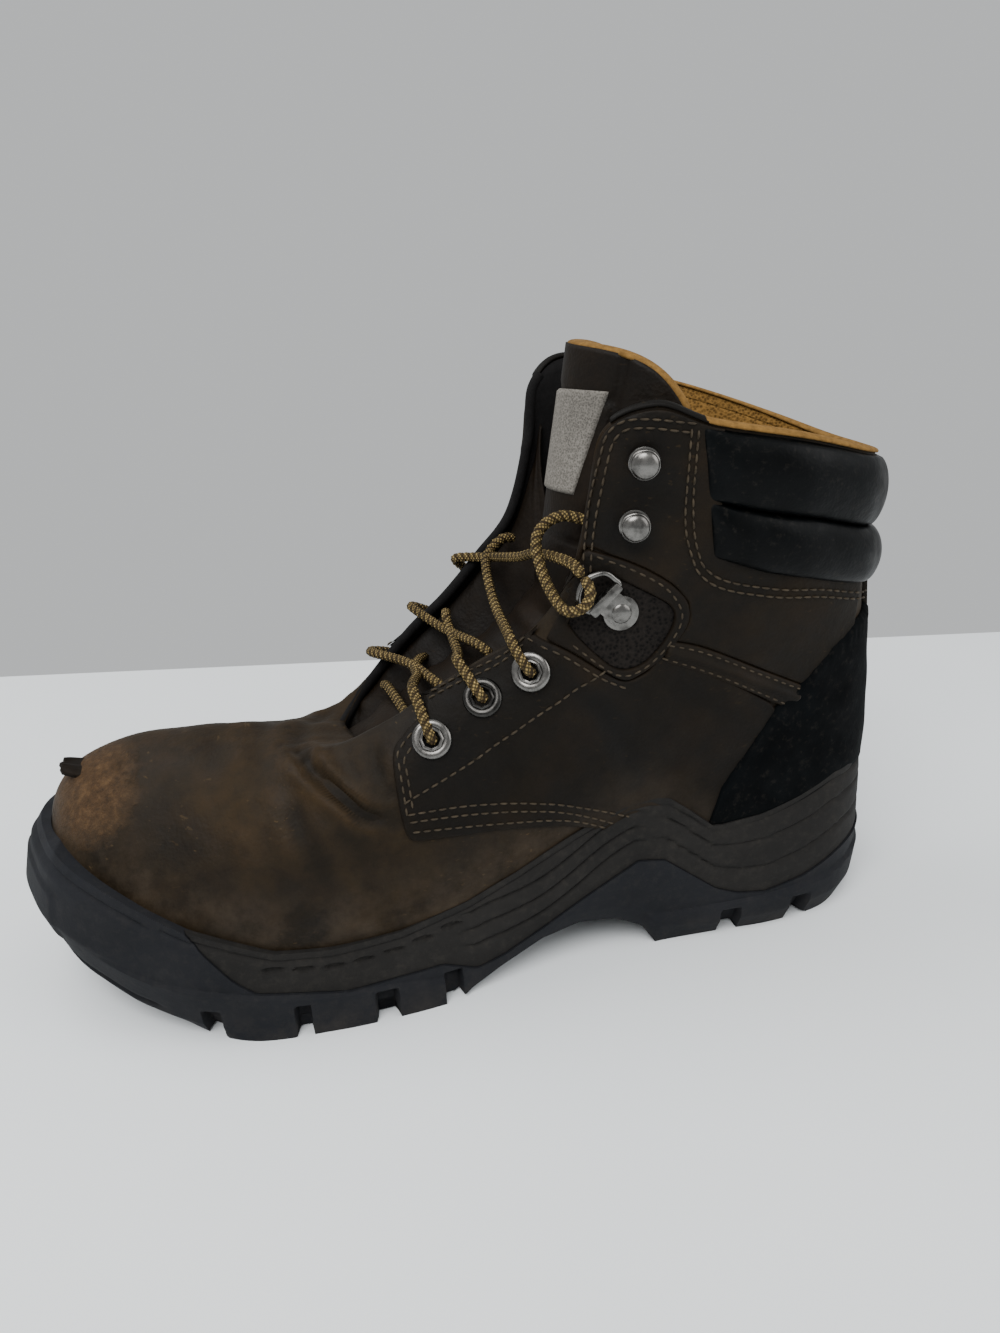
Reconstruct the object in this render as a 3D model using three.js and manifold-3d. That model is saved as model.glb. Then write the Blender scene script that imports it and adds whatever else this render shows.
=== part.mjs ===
// Left work boot: hollow upper on a lugged two-layer sole, with tongue, insole, heel counter,
// padded collar rolls, eyelets, D-rings, hook studs and laces. Millimetres, +Z up, toe to +X,
// outer side to +Y.
import * as THREE from 'three';
import { mergeVertices } from 'three/addons/utils/BufferGeometryUtils.js';
import Module from 'manifold-3d';

const wasm = await Module();
wasm.setup();

// ---- driving dimensions -----------------------------------------------------------------
const WALL = 2.8;              // leather and lining together
const GAP = 0.3;               // left between pieces that touch
const SEAT_INSET = 5;          // how far the upper turns in under the foot
const MARGIN_WIDTH = 9;        // lasting margin lying on the midsole
const INSOLE_THICKNESS = 3.5;
const TONGUE_THICKNESS = 4;
const COUNTER_THICKNESS = 1.8;
const ROLL_HEIGHT = 5.2;       // how far the collar rolls stand out
const LACE_RADIUS = 2.2;
const HOLE_RADIUS = 3.9;
const GROOVE_DEPTH = 5;

const COLUMNS = 60;            // columns round the boot, even
const WALL_ROWS = 13;          // rows from the feather line to the top edge

// ---- the last: closed rows of x, distance from the centre line, height ------------------
// Each row runs from the toe over the side to the heel in 16 stations.
const FEATHER = [
  [304, 0, 50], [299, 18, 48], [285, 33.5, 42], [260, 44.5, 33], [232, 49, 28], [204, 49, 27],
  [176, 46, 29], [150, 41.5, 35], [126, 37.5, 42], [104, 35.5, 48], [83, 35, 47], [62, 35, 46],
  [41, 34, 48], [20, 28, 52], [6, 15, 54], [2, 0, 54],
];
const RISE = [
  [307, 0, 90], [302, 20, 85], [286, 36, 72], [259, 47, 60], [229, 52, 54], [200, 52, 54],
  [171, 49, 58], [146, 44.5, 66], [123, 40.5, 76], [103, 38.5, 86], [83, 37.5, 90], [62, 37.5, 92],
  [41, 36, 93], [18, 29.5, 95], [4, 15.5, 96], [0, 0, 96],
];
// The upper two rows differ from side to side, so they hold true y.
const CROWN_OUTER = [
  [262, -6, 93], [255, 10, 92], [240, 20, 89], [216, 33, 85], [196, 38, 88], [176, 40, 98],
  [154, 40, 106], [134, 40, 114], [112, 41, 128], [100, 41, 134], [88, 40.5, 137], [70, 40, 138],
  [46, 38, 137], [24, 29, 134], [14, 15, 132], [12, 0, 131],
];
const CROWN_INNER = [
  [262, -6, 93], [255, -17, 85], [238, -30, 70], [214, -39, 56], [197, -42, 66], [178, -44, 82],
  [156, -45, 98], [136, -45, 114], [116, -44, 130], [102, -43, 136], [88, -41.5, 138], [70, -40, 138],
  [46, -38, 137], [24, -29, 134], [14, -15, 132], [12, 0, 131],
];
const TOP_OUTER = [
  [196, -4, 83], [193, 7, 84], [187, 19, 87], [177, 25, 98], [163, 26, 108], [147, 27, 117],
  [131, 27, 125], [119, 31, 143], [113, 33, 168], [109, 36, 189], [94, 41, 196], [77, 44, 190],
  [48, 44.5, 184], [24, 34.5, 177], [11, 17, 173], [8, 0, 172],
];
const TOP_INNER = [
  [196, -4, 83], [196, -13, 81], [193, -22, 83], [184, -26, 95], [170, -27, 110], [156, -28, 122],
  [142, -31, 136], [129, -35, 150], [121, -38, 174], [117, -42, 195], [104, -46, 204], [80, -48, 197],
  [50, -47, 188], [25, -36, 179], [11, -17, 173], [8, 0, 172],
];
const CENTRE_LINE = [[0, 0], [70, 0], [135, 3], [215, 4], [270, 0], [314, -7]];

// ---- the sole: x, half width, how far the rim and the lugs stand inside that ------------
const SOLE_EDGE = [
  [315.5, 0, 9, 14], [309, 20, 8, 13], [294, 38, 6, 12], [262, 50, 4, 8], [236, 53.7, 2.5, 0],
  [208, 53.2, 2, 0], [186, 50.8, 2, 0], [166, 47.5, 2, 0], [140, 43, 2, 1], [115, 40, 2, 3],
  [90, 39, 1.5, 5], [66, 39.3, 1.5, 6], [42, 38.2, 1.5, 6], [19, 32, 1.5, 6], [4, 17.5, 1.5, 6],
  [-1, 0, 1.5, 6],
];
const RIM_HEIGHT = [
  [-2, 60.5], [22, 60.5], [37, 54.5], [52, 50], [66, 47.8], [70, 48], [78, 55], [86, 61.5],
  [93, 63], [100, 62.3], [112, 57.5], [124, 52], [142, 43.5], [159, 37], [183, 31.5], [206, 30],
  [225, 31], [238, 35.5], [252, 40], [266, 46], [284, 54], [300, 61], [316, 62],
];
const SEAT_HEIGHT = [[0, 37], [60, 36], [100, 32], [140, 24], [180, 18], [220, 18], [260, 22], [304, 33]];
const UNDERSIDE = [
  [-2, 1], [8, 0], [90, 0], [95, 8], [106, 14], [120, 16.5], [134, 14.5], [150, 8], [166, 0], [248, 0],
  [262, 1.5], [275, 4.5], [290, 9.5], [300, 13.5], [310, 17.5], [316, 19.5],
];
const PARTING_EDGE = [
  [-2, 30], [16, 27.7], [33, 20.5], [49, 17], [60, 18.5], [68, 22], [79, 30.5], [88, 37.5], [98, 39],
  [112, 31], [121, 26], [134, 19], [148, 12.5], [158, 10], [170, 15.5], [185, 15], [202, 14],
  [218, 16], [232, 17.5], [239, 22.7], [246.5, 32.2], [253.7, 41.5], [259, 60], [318, 80],
];
const PARTING_MIDDLE = [
  [-2, 22], [40, 17], [70, 20], [100, 23], [120, 21], [140, 17], [170, 11], [238, 12], [257, 60],
  [318, 80],
];
const PARTING_SHOULDER = 9;    // width of the edge band in which the parting changes height

const LUG_GROOVES = [          // x, width, slant in degrees, for both sides
  [244, 6, 12], [216, 4.5, 6], [192, 7, -6], [170, 6, -10], [62, 7, 0], [31, 7, 8],
];
const MIDDLE_GROOVES = [236, 210, 184, 74, 48];

// ---- hardware places: x and z on the outer side -----------------------------------------
const EYELETS = [[167, 95], [149.3, 106.1], [133.3, 114.3]];
const D_RING = [104.5, 132.6];
const STUDS = [[100, 160.5], [97.2, 179.4]];

// ---- small helpers ----------------------------------------------------------------------
function lerpTable(x, table) {
  const last = table.length - 1;
  if (x <= table[0][0]) return table[0][1];
  if (x >= table[last][0]) return table[last][1];
  const i = table.findIndex((row) => row[0] > x) - 1;
  const s = (x - table[i][0]) / (table[i + 1][0] - table[i][0]);
  return table[i][1] + s * (table[i + 1][1] - table[i][1]);
}

function slopeAt(table, i) {
  const last = table.length - 1;
  if (i === 0) return (table[1][1] - table[0][1]) / (table[1][0] - table[0][0]);
  if (i === last) return (table[i][1] - table[i - 1][1]) / (table[i][0] - table[i - 1][0]);
  const before = table[i][0] - table[i - 1][0];
  const after = table[i + 1][0] - table[i][0];
  const left = (table[i][1] - table[i - 1][1]) / before;
  const right = (table[i + 1][1] - table[i][1]) / after;
  return (left * after + right * before) / (before + after);
}

function smoothTable(x, table) {
  const last = table.length - 1;
  const at = Math.min(Math.max(x, table[0][0]), table[last][0]);
  const found = table.findIndex((row) => row[0] > at);
  const i = found < 0 ? last - 1 : found - 1;
  const h = table[i + 1][0] - table[i][0];
  const s = (at - table[i][0]) / h;
  const s2 = s * s;
  const s3 = s2 * s;
  return table[i][1] * (2 * s3 - 3 * s2 + 1) + h * slopeAt(table, i) * (s3 - 2 * s2 + s)
    + table[i + 1][1] * (3 * s2 - 2 * s3) + h * slopeAt(table, i + 1) * (s3 - s2);
}

const centre = (x) => smoothTable(x, CENTRE_LINE);

// A closed ring of points from one or two half rows: toe, outer side, heel, inner side.
function closedRing(outer, inner) {
  const near = outer.map(([x, y, z]) => new THREE.Vector3(x, inner ? y : centre(x) + y, z));
  const farRow = inner ?? outer.map(([x, y, z]) => [x, centre(x) - y, z]);
  const far = farRow.map(([x, y, z]) => new THREE.Vector3(x, y, z));
  return near.concat(far.slice(1, -1).reverse());
}

// Catmull-Rom round a closed ring; v is in turns, 0 at the toe and 0.5 at the heel.
function ringPoint(ring, v) {
  const count = ring.length;
  const f = (v - Math.floor(v)) * count;
  const i = Math.floor(f);
  const s = f - i;
  const [a, b, c, d] = [-1, 0, 1, 2].map((k) => ring[(i + k + count) % count]);
  const blend = (p, q, r, t) => 0.5 * (2 * q + (r - p) * s + (2 * p - 5 * q + 4 * r - t) * s * s
    + (3 * q - p - 3 * r + t) * s * s * s);
  return new THREE.Vector3(blend(a.x, b.x, c.x, d.x), blend(a.y, b.y, c.y, d.y), blend(a.z, b.z, c.z, d.z));
}

// ---- the upper's outer surface ----------------------------------------------------------
const RINGS = [
  closedRing(FEATHER), closedRing(RISE),
  closedRing(CROWN_OUTER, CROWN_INNER), closedRing(TOP_OUTER, TOP_INNER),
];

// t runs from the feather line (0) to the throat and collar line (1).
function last(v, t) {
  const r = 1 - t;
  const weights = [r * r * r, 3 * t * r * r, 3 * t * t * r, t * t * t];
  const point = new THREE.Vector3();
  RINGS.forEach((ring, k) => point.addScaledVector(ringPoint(ring, v), weights[k]));
  return point;
}

function lastNormal(v, t) {
  const step = 1e-3;
  const along = last(v + step, t).sub(last(v - step, t));
  const low = Math.max(t - step, 0);
  const high = Math.min(t + step, 1);
  const up = last(v, high).sub(last(v, low));
  return along.cross(up).normalize();
}

const skin = (v, t, offset) => last(v, t).addScaledVector(lastNormal(v, t), offset);

// Where the side at (x, z) lies: its v and t, found by Newton steps from the nearest station.
function sideSpot(x, z, side = 1) {
  let v = 0.25 * side;
  let t = 0.5;
  for (let i = 0; i < 60; i += 1) {
    const h = 1e-4;
    const here = last(v, t);
    const a = last(v + h, t).sub(here).divideScalar(h);
    const b = last(v, t + h).sub(here).divideScalar(h);
    const det = a.x * b.z - a.z * b.x;
    const dx = x - here.x;
    const dz = z - here.z;
    v += THREE.MathUtils.clamp((dx * b.z - dz * b.x) / det, -0.02, 0.02);
    t = THREE.MathUtils.clamp(t + THREE.MathUtils.clamp((a.x * dz - a.z * dx) / det, -0.05, 0.05), 0, 1);
  }
  return [v, t];
}

// The t at which column v reaches height z.
function heightSpot(v, z) {
  let low = 0;
  let high = 1;
  for (let i = 0; i < 30; i += 1) {
    const middle = (low + high) / 2;
    if (last(v, middle).z < z) low = middle;
    else high = middle;
  }
  return (low + high) / 2;
}

// A ring point moved inwards in plan.
function insetPoint(ring, v, inset, z) {
  const step = 1e-3;
  const p = ringPoint(ring, v);
  const along = ringPoint(ring, v + step).sub(ringPoint(ring, v - step)).setZ(0).normalize();
  const inward = new THREE.Vector3(-along.y, along.x, 0);
  p.addScaledVector(inward, inset);
  p.z = z ?? p.z;
  return p;
}

const seat = (x) => smoothTable(x, SEAT_HEIGHT);

function seatPoint(v, inset, lift = 0) {
  const p = insetPoint(RINGS[0], v, inset);
  p.z = seat(p.x) + lift;
  return p;
}

// ---- meshes from rows of points ---------------------------------------------------------
function geometryFrom(points, faces) {
  const geometry = new THREE.BufferGeometry();
  const numbers = points.flatMap((p) => [p.x, p.y, p.z]);
  geometry.setAttribute('position', new THREE.Float32BufferAttribute(numbers, 3));
  geometry.setIndex(faces);
  return geometry;
}

function volumeOf(geometry) {
  const position = geometry.getAttribute('position');
  const index = geometry.getIndex();
  const corner = [new THREE.Vector3(), new THREE.Vector3(), new THREE.Vector3()];
  let sum = 0;
  for (let i = 0; i < index.count; i += 3) {
    corner.forEach((p, k) => p.fromBufferAttribute(position, index.getX(i + k)));
    sum += corner[0].dot(corner[1].clone().cross(corner[2])) / 6;
  }
  return sum;
}

function facingOut(geometry) {
  if (volumeOf(geometry) > 0) return geometry;
  const index = Array.from(geometry.getIndex().array);
  for (let i = 0; i < index.length; i += 3) [index[i], index[i + 1]] = [index[i + 1], index[i]];
  geometry.setIndex(index);
  return geometry;
}

// Rows that close round and also close from the last row to the first: a hollow band.
function hollowBand(rows) {
  const columns = rows[0].length;
  const faces = [];
  rows.forEach((row, r) => {
    const next = ((r + 1) % rows.length) * columns;
    for (let c = 0; c < columns; c += 1) {
      const d = (c + 1) % columns;
      const base = r * columns;
      faces.push(base + c, base + d, next + c, base + d, next + d, next + c);
    }
  });
  return facingOut(geometryFrom(rows.flat(), faces));
}

// Rows that close round, the first and last covered by strips from side to side.
function stackedSolid(rows) {
  const columns = rows[0].length;
  const faces = [];
  for (let r = 0; r < rows.length - 1; r += 1) {
    for (let c = 0; c < columns; c += 1) {
      const d = (c + 1) % columns;
      const low = r * columns;
      const high = low + columns;
      faces.push(low + c, low + d, high + c, low + d, high + d, high + c);
    }
  }
  const cover = (base, flip) => {
    const push = (a, b, c) => (flip ? faces.push(a, c, b) : faces.push(a, b, c));
    for (let c = 0; c < columns / 2; c += 1) {
      const far = (columns - c) % columns;
      const farNext = columns - c - 1;
      if (c > 0) push(base + c, base + far, base + farNext);
      if (c + 1 < columns / 2) push(base + c, base + farNext, base + c + 1);
    }
  };
  cover(0, false);
  cover((rows.length - 1) * columns, true);
  return facingOut(geometryFrom(rows.flat(), faces));
}

// Two equal grids of points, joined round their edges into one closed sheet.
function sheetSolid(outer, inner) {
  const rows = outer.length;
  const columns = outer[0].length;
  const back = rows * columns;
  const at = (r, c) => r * columns + c;
  const faces = [];
  for (let r = 0; r < rows - 1; r += 1) {
    for (let c = 0; c < columns - 1; c += 1) {
      const [a, b, d, e] = [at(r, c), at(r, c + 1), at(r + 1, c), at(r + 1, c + 1)];
      faces.push(a, b, d, b, e, d, back + a, back + d, back + b, back + b, back + d, back + e);
    }
  }
  const rim = [];
  for (let c = 0; c < columns - 1; c += 1) rim.push(at(0, c));
  for (let r = 0; r < rows - 1; r += 1) rim.push(at(r, columns - 1));
  for (let c = columns - 1; c > 0; c -= 1) rim.push(at(rows - 1, c));
  for (let r = rows - 1; r > 0; r -= 1) rim.push(at(r, 0));
  rim.forEach((a, i) => {
    const b = rim[(i + 1) % rim.length];
    faces.push(b, a, back + a, b, back + a, back + b);
  });
  return facingOut(geometryFrom(outer.flat().concat(inner.flat()), faces));
}

// ---- cutting and joining ----------------------------------------------------------------
function toManifold(source) {
  const plain = source.clone();
  plain.deleteAttribute('normal');
  plain.deleteAttribute('uv');
  const merged = mergeVertices(plain, 1e-4);
  const vertProperties = new Float32Array(merged.getAttribute('position').array);
  const triVerts = new Uint32Array(merged.getIndex().array);
  return new wasm.Manifold(new wasm.Mesh({ numProp: 3, vertProperties, triVerts }));
}

function fromManifold(solid) {
  const mesh = solid.getMesh();
  const geometry = new THREE.BufferGeometry();
  geometry.setAttribute('position', new THREE.Float32BufferAttribute(mesh.vertProperties, 3));
  geometry.setIndex(Array.from(mesh.triVerts));
  return geometry;
}

const cutBy = (body, cutters) => cutters.reduce((rest, cutter) => rest.subtract(toManifold(cutter)), body);
const joined = (parts) => parts.map(toManifold).reduce((sum, part) => sum.add(part));

// ---- columns ----------------------------------------------------------------------------
const round = (count) => Array.from({ length: count }, (_, i) => i / count);
const spread = (from, to, count) => round(count - 1).concat(1).map((s) => from + (to - from) * s);
const AROUND = round(COLUMNS);

// ---- upper ------------------------------------------------------------------------------
function upperShell() {
  const heights = spread(0, 1, WALL_ROWS);
  const outside = heights.map((t) => AROUND.map((v) => skin(v, t, 0)));
  const inside = heights.map((t) => AROUND.map((v) => skin(v, t, -WALL))).reverse();
  const turnedIn = AROUND.map((v) => seatPoint(v, SEAT_INSET));
  const marginLow = AROUND.map((v) => seatPoint(v, SEAT_INSET + MARGIN_WIDTH));
  const marginHigh = AROUND.map((v) => seatPoint(v, SEAT_INSET + MARGIN_WIDTH, WALL));
  const insideCorner = AROUND.map((v) => seatPoint(v, SEAT_INSET + WALL, WALL));
  return hollowBand([marginLow, turnedIn, ...outside, ...inside, insideCorner, marginHigh]);
}

// Everything that the upper fills from the seat to the shins, grown by the gap.
function upperEnvelope() {
  const heights = spread(0, 0.55, 9);
  const rows = heights.map((t) => AROUND.map((v) => skin(v, t, GAP)));
  const floor = AROUND.map((v) => seatPoint(v, SEAT_INSET - GAP, -GAP));
  return stackedSolid([floor, ...rows]);
}

// ---- sole -------------------------------------------------------------------------------
const SOLE_RING = closedRing(SOLE_EDGE.map(([x, y]) => [x, y, 0]));
const RIM_INSETS = SOLE_EDGE.map(([x, , atRim, atLug]) => [x, atRim, atLug]);
const RIM_INSET_RING = closedRing(RIM_INSETS, RIM_INSETS);

const rim = (x) => lerpTable(x, RIM_HEIGHT);

function solePoint(v, inset, height) {
  const p = insetPoint(SOLE_RING, v, inset);
  p.z = height(p.x);
  return p;
}

function soleBody(proud) {
  const insets = (v) => ringPoint(RIM_INSET_RING, v);
  const levels = [0, 0.15, 0.5, 0.85, 1];
  const between = (x, level) => {
    const low = lerpTable(x, UNDERSIDE);
    return low + (rim(x) - low) * level;
  };
  const insetAt = (v, level) => {
    const toRim = insets(v).y;
    const toLug = insets(v).z;
    const shares = [toLug, toLug * 0.35, 0, toRim * 0.45, toRim];
    return shares[levels.indexOf(level)] - proud;
  };
  return stackedSolid(levels.map((level) => AROUND.map((v) => {
    const edge = ringPoint(SOLE_RING, v);
    const p = insetPoint(SOLE_RING, v, insetAt(v, level));
    p.z = between(edge.x, level);
    return p;
  })));
}

// Everything below the line where the black outsole meets the midsole.
function belowParting(lift) {
  const beyond = -6;
  const floor = -5;
  const rows = [
    AROUND.map((v) => solePoint(v, beyond, () => floor)),
    AROUND.map((v) => solePoint(v, beyond, (x) => lerpTable(x, PARTING_EDGE) + lift)),
    AROUND.map((v) => solePoint(v, PARTING_SHOULDER * 0.5, (x) => lerpTable(x, PARTING_EDGE) + lift)),
    AROUND.map((v) => solePoint(v, PARTING_SHOULDER, (x) => lerpTable(x, PARTING_MIDDLE) + lift)),
  ];
  return stackedSolid(rows);
}

function block(length, width, height, x, y, z, turn = 0) {
  const geometry = new THREE.BoxGeometry(length, width, height);
  geometry.rotateZ(turn);
  geometry.translate(x, y, z);
  return geometry;
}

function lugCutters() {
  const reach = 40;
  const depth = GROOVE_DEPTH;
  const cutters = [];
  LUG_GROOVES.forEach(([x, width, slant]) => {
    const half = ringHalfWidth(x);
    [1, -1].forEach((side) => {
      const turn = THREE.MathUtils.degToRad(-slant * side);
      const y = centre(x) + side * (half + reach / 2 - 18);
      cutters.push(block(width, reach, depth * 2, x, y, 0, turn));
      const notchY = centre(x) + side * (half + reach / 2 - 5);
      cutters.push(block(width, reach, depth * 4, x, notchY, 0, turn));
    });
  });
  MIDDLE_GROOVES.forEach((x) => cutters.push(block(4, 44, depth * 1.6, x, centre(x), 0)));
  return cutters;
}

function ringHalfWidth(x) {
  let best = 0;
  AROUND.slice(0, COLUMNS / 2).forEach((v) => {
    const p = ringPoint(SOLE_RING, v);
    if (Math.abs(p.x - x) < 8) best = Math.max(best, p.y - centre(p.x));
  });
  return best;
}

// ---- tongue: x, z of the middle, half width, how far the edges lie behind it ---------------
const TONGUE = [
  [214, 71.5, 17, 9], [198, 75.5, 20, 11], [181, 85.5, 23, 11], [163, 97.5, 26, 11], [146, 108, 28, 12],
  [131, 118.5, 29, 14], [121.5, 132, 30, 17], [116, 149, 31, 21], [112, 168, 31.5, 25],
  [109.5, 188, 32, 29], [107.5, 207, 32.5, 33],
];
const TONGUE_MIDDLE = [[0, -4], [3, -3], [6, 0], [10, 1]];     // row number, y of the middle

function tonguePoint(row, across, offset) {
  const column = (k) => TONGUE.map((entry, i) => [i, entry[k]]);
  const at = (r) => new THREE.Vector3(smoothTable(r, column(0)), 0, smoothTable(r, column(1)));
  const here = at(row);
  const along = at(row + 0.05).sub(at(row - 0.05)).normalize();
  const back = new THREE.Vector3(-along.z, 0, along.x).negate();
  const half = smoothTable(row, column(2));
  const drop = smoothTable(row, column(3));
  const fold = (b) => here.clone()
    .addScaledVector(new THREE.Vector3(0, 1, 0), smoothTable(row, TONGUE_MIDDLE) + half * b)
    .addScaledVector(back, -drop * Math.abs(b) ** 2.2);
  const side = fold(across + 0.01).sub(fold(across - 0.01)).normalize();
  const outward = along.clone().cross(side).normalize();
  return fold(across).addScaledVector(outward, offset);
}

function tongueSolid() {
  const rows = spread(0, TONGUE.length - 1, 23);
  const across = spread(-1, 1, 13);
  const plump = (b) => TONGUE_THICKNESS * (0.5 + 0.5 * Math.sqrt(1 - 0.9 * b * b));
  const layer = (sign) => rows.map((r) => across.map((b) => tonguePoint(r, b, (sign * plump(b)) / 2)));
  return sheetSolid(layer(1), layer(-1));
}

// ---- overlays on the upper ----------------------------------------------------------------
function overlay(vFrom, vTo, columns, rows, lowAt, highAt, heightOf) {
  const layer = (offsetOf) => spread(0, 1, rows).map((s) => spread(vFrom, vTo, columns).map((v, c) => {
    const low = lowAt(v);
    const t = low + (highAt(v) - low) * s;
    return skin(v, t, offsetOf(s, c / (columns - 1)));
  }));
  return sheetSolid(layer((s, a) => heightOf(s, a)), layer(() => GAP));
}

const COUNTER_TOP = [[0, 108], [20, 106], [40, 99], [53, 86], [62, 70], [70, 56]];
const COUNTER_FROM = 10.7 / 30;
const ROLL_FROM = 10.9 / 30;
const SPLIT_HEIGHT = [[0, 146.5], [8, 147], [42, 158], [61, 162], [84, 168]];
const ROLL_FOOT = [[0, 126.5], [8, 127.5], [44, 138], [60, 142], [84, 151]];

function heelCounter() {
  const low = (v) => heightSpot(v, rim(last(v, 0.1).x) + 2.2);
  const high = (v) => Math.max(heightSpot(v, lerpTable(last(v, 0.3).x, COUNTER_TOP)), low(v) + 0.03);
  return overlay(COUNTER_FROM, 1 - COUNTER_FROM, 25, 6, low, high, () => GAP + COUNTER_THICKNESS);
}

const puff = (s, a, height) => {
  const up = Math.sqrt(Math.sin(Math.PI * THREE.MathUtils.clamp(s, 0, 1)) + 1e-9);
  const side = Math.min(1, Math.sqrt(Math.min(a, 1 - a) * 14));
  return GAP + 0.9 + (height - 0.9) * up * side;
};

function collarRoll(lowTable, highTable, clearance) {
  const low = (v) => heightSpot(v, lerpTable(last(v, 0.8).x, lowTable) + clearance);
  const high = (v) => (highTable ? heightSpot(v, lerpTable(last(v, 0.9).x, highTable) - clearance) : 0.985);
  return overlay(ROLL_FROM, 1 - ROLL_FROM, 27, 7, low, high, (s, a) => puff(s, a, ROLL_HEIGHT));
}

// ---- hardware ---------------------------------------------------------------------------
// A frame on the upper: Z outwards, Y up the side.
function mountFrame(v, t) {
  const out = lastNormal(v, t);
  const up = new THREE.Vector3(0, 0, 1).addScaledVector(out, -out.z).normalize();
  const across = up.clone().cross(out);
  return new THREE.Matrix4().makeBasis(across, up, out).setPosition(last(v, t));
}

function turned(profile, sides = 12) {
  const geometry = new THREE.LatheGeometry(profile.map(([r, h]) => new THREE.Vector2(r, h)), sides);
  geometry.rotateX(Math.PI / 2);
  return geometry;
}

const FLANGE_LIFT = 0.6;
const EYELET_PROFILE = [
  [2.6, -WALL], [3.5, -WALL], [3.5, FLANGE_LIFT], [6.4, FLANGE_LIFT], [6.4, 1.3], [4.6, 2.2],
  [2.6, 1.6], [2.6, -WALL],
];
const STUD_PROFILE = [
  [0, FLANGE_LIFT], [5.2, FLANGE_LIFT], [5.2, 1.4], [3, 1.9], [3, 3.4], [5.2, 4.2], [5, 5.4], [3, 6.5],
  [0, 7],
];
const CLIP_PROFILE = [[0, FLANGE_LIFT], [5.8, FLANGE_LIFT], [5.8, 1.6], [4.4, 2.6], [0, 3]];

function cordTube(points, radius, sides, steps) {
  const path = new THREE.CatmullRomCurve3(points);
  const section = new THREE.Shape();
  section.absarc(0, 0, radius, 0, 2 * Math.PI);
  const count = steps ?? Math.max(6, Math.round(path.getLength() / (radius * 4)));
  const options = { steps: count, extrudePath: path, curveSegments: sides };
  const geometry = new THREE.ExtrudeGeometry(section, options);
  geometry.deleteAttribute('uv');
  geometry.deleteAttribute('normal');
  return facingOut(mergeVertices(geometry, 1e-3));
}

const spotMirror = ([v, t]) => [1 - v, t];
const EYELET_SPOTS = EYELETS.map(([x, z]) => sideSpot(x, z));
const D_RING_SPOT = sideSpot(D_RING[0], D_RING[1]);
const STUD_SPOTS = STUDS.map(([x, z]) => sideSpot(x, z));

// A D-ring lying on the facing: the clip's round rivet and plate, and the bent wire loop.
const D_RING_TURN = THREE.MathUtils.degToRad(45);
const D_RING_WIRE = 1.1;
const D_RING_LOOP = [[7, -5.4], [10, -6.6], [14, -5.6], [16.6, 0], [14, 5.6], [10, 6.6], [7, 5.4]];

function dRing(side) {
  const path = D_RING_LOOP.map(([x, y]) => new THREE.Vector3(x * side, y, 3.1));
  const wire = cordTube(path, D_RING_WIRE, 6, 12);
  const plate = block(9.5, 9, 1.6, 4.4 * side, 0, 1.6);
  const keeper = block(3.4, 13, 3.8, 7.4 * side, 0, 2.7);
  const clip = fromManifold(joined([turned(CLIP_PROFILE), plate, keeper, wire]));
  return clip.rotateZ(D_RING_TURN * side);
}

// ---- laces ------------------------------------------------------------------------------
const LACE_SIDES = 8;
const OVER_EYELET = 6.8;       // lace centre above the facing at an eyelet
const OVER_EDGE = 4.8;         // and where it runs over the facing's edge

// The column whose top edge stands at x, on the outer (1) or inner (-1) side of the throat.
function edgeColumn(x, side) {
  let low = 1 / 30;
  let high = 9 / 30;
  for (let i = 0; i < 30; i += 1) {
    const middle = (low + high) / 2;
    if (last(side > 0 ? middle : 1 - middle, 1).x > x) low = middle;
    else high = middle;
  }
  return side > 0 ? low : 1 - low;
}

// From an eyelet over the facing's edge at edgeX, then through free points to where it hides.
function laceRun([v, t], edgeX, side, freePoints) {
  const start = skin(v, t, OVER_EYELET);
  const edge = skin(edgeColumn(edgeX, side), 1, OVER_EDGE);
  const middle = start.clone().lerp(edge, 0.5).addScaledVector(lastNormal(v, t), 2.6);
  const free = freePoints.map((p) => new THREE.Vector3(...p));
  return cordTube([start, middle, edge, ...free], LACE_RADIUS, LACE_SIDES);
}

const NEAR_RUNS = [            // from the outer eyelets, ending under the inner facing
  [169, [[169, 8, 104.6], [169, -3, 103.4], [167, -14, 101.5]]],
  [154, [[154.4, 12, 113], [155.1, -8, 114.4], [155.7, -14, 117.5]]],
  [137.5, [[140, 5, 127.5], [140, -14, 135], [137.5, -21, 138.8], [132, -24, 142.5], [127, -25, 142]]],
];
const FAR_RUNS = [             // from the inner eyelets, ending under the outer facing
  [181, [[171.3, -8, 103.4], [163, 15, 104.6]]],
  [165, [[156.9, -12, 113.8], [148, 13, 116.4]]],
  [146, [[139.5, -23, 136.4], [130, 0, 140.5], [126, 11, 142.6], [122.5, 22, 143.3]]],
];
const LACE_BAR = [[179.5, -13, 92.9], [177, 0, 93.8], [174.5, 12, 93.6]];
const LACE_LOOP = [
  [121.8, 44, 136], [124.4, 38, 137.3], [126.8, 30, 143.3], [128, 24, 152.3], [125.5, 22, 157.5],
  [119.6, 22, 160.6], [114, 24, 160], [110, 25.5, 158],
];

// ---- assembly ---------------------------------------------------------------------------
const LEATHER = { color: 0x4a3223, roughness: 0.75 };
const BLACK_LEATHER = { color: 0x1d1c1c, roughness: 0.6 };
const RUBBER = { color: 0x1b1b1c, roughness: 0.85 };
const MIDSOLE_RUBBER = { color: 0x37322f, roughness: 0.8 };
const STEEL = { color: 0xa8a59e, roughness: 0.35, metalness: 1 };
const CORD = { color: 0xa98a4a, roughness: 0.9 };
const FELT = { color: 0x5a4a35, roughness: 0.95 };

const group = new THREE.Group();

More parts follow.
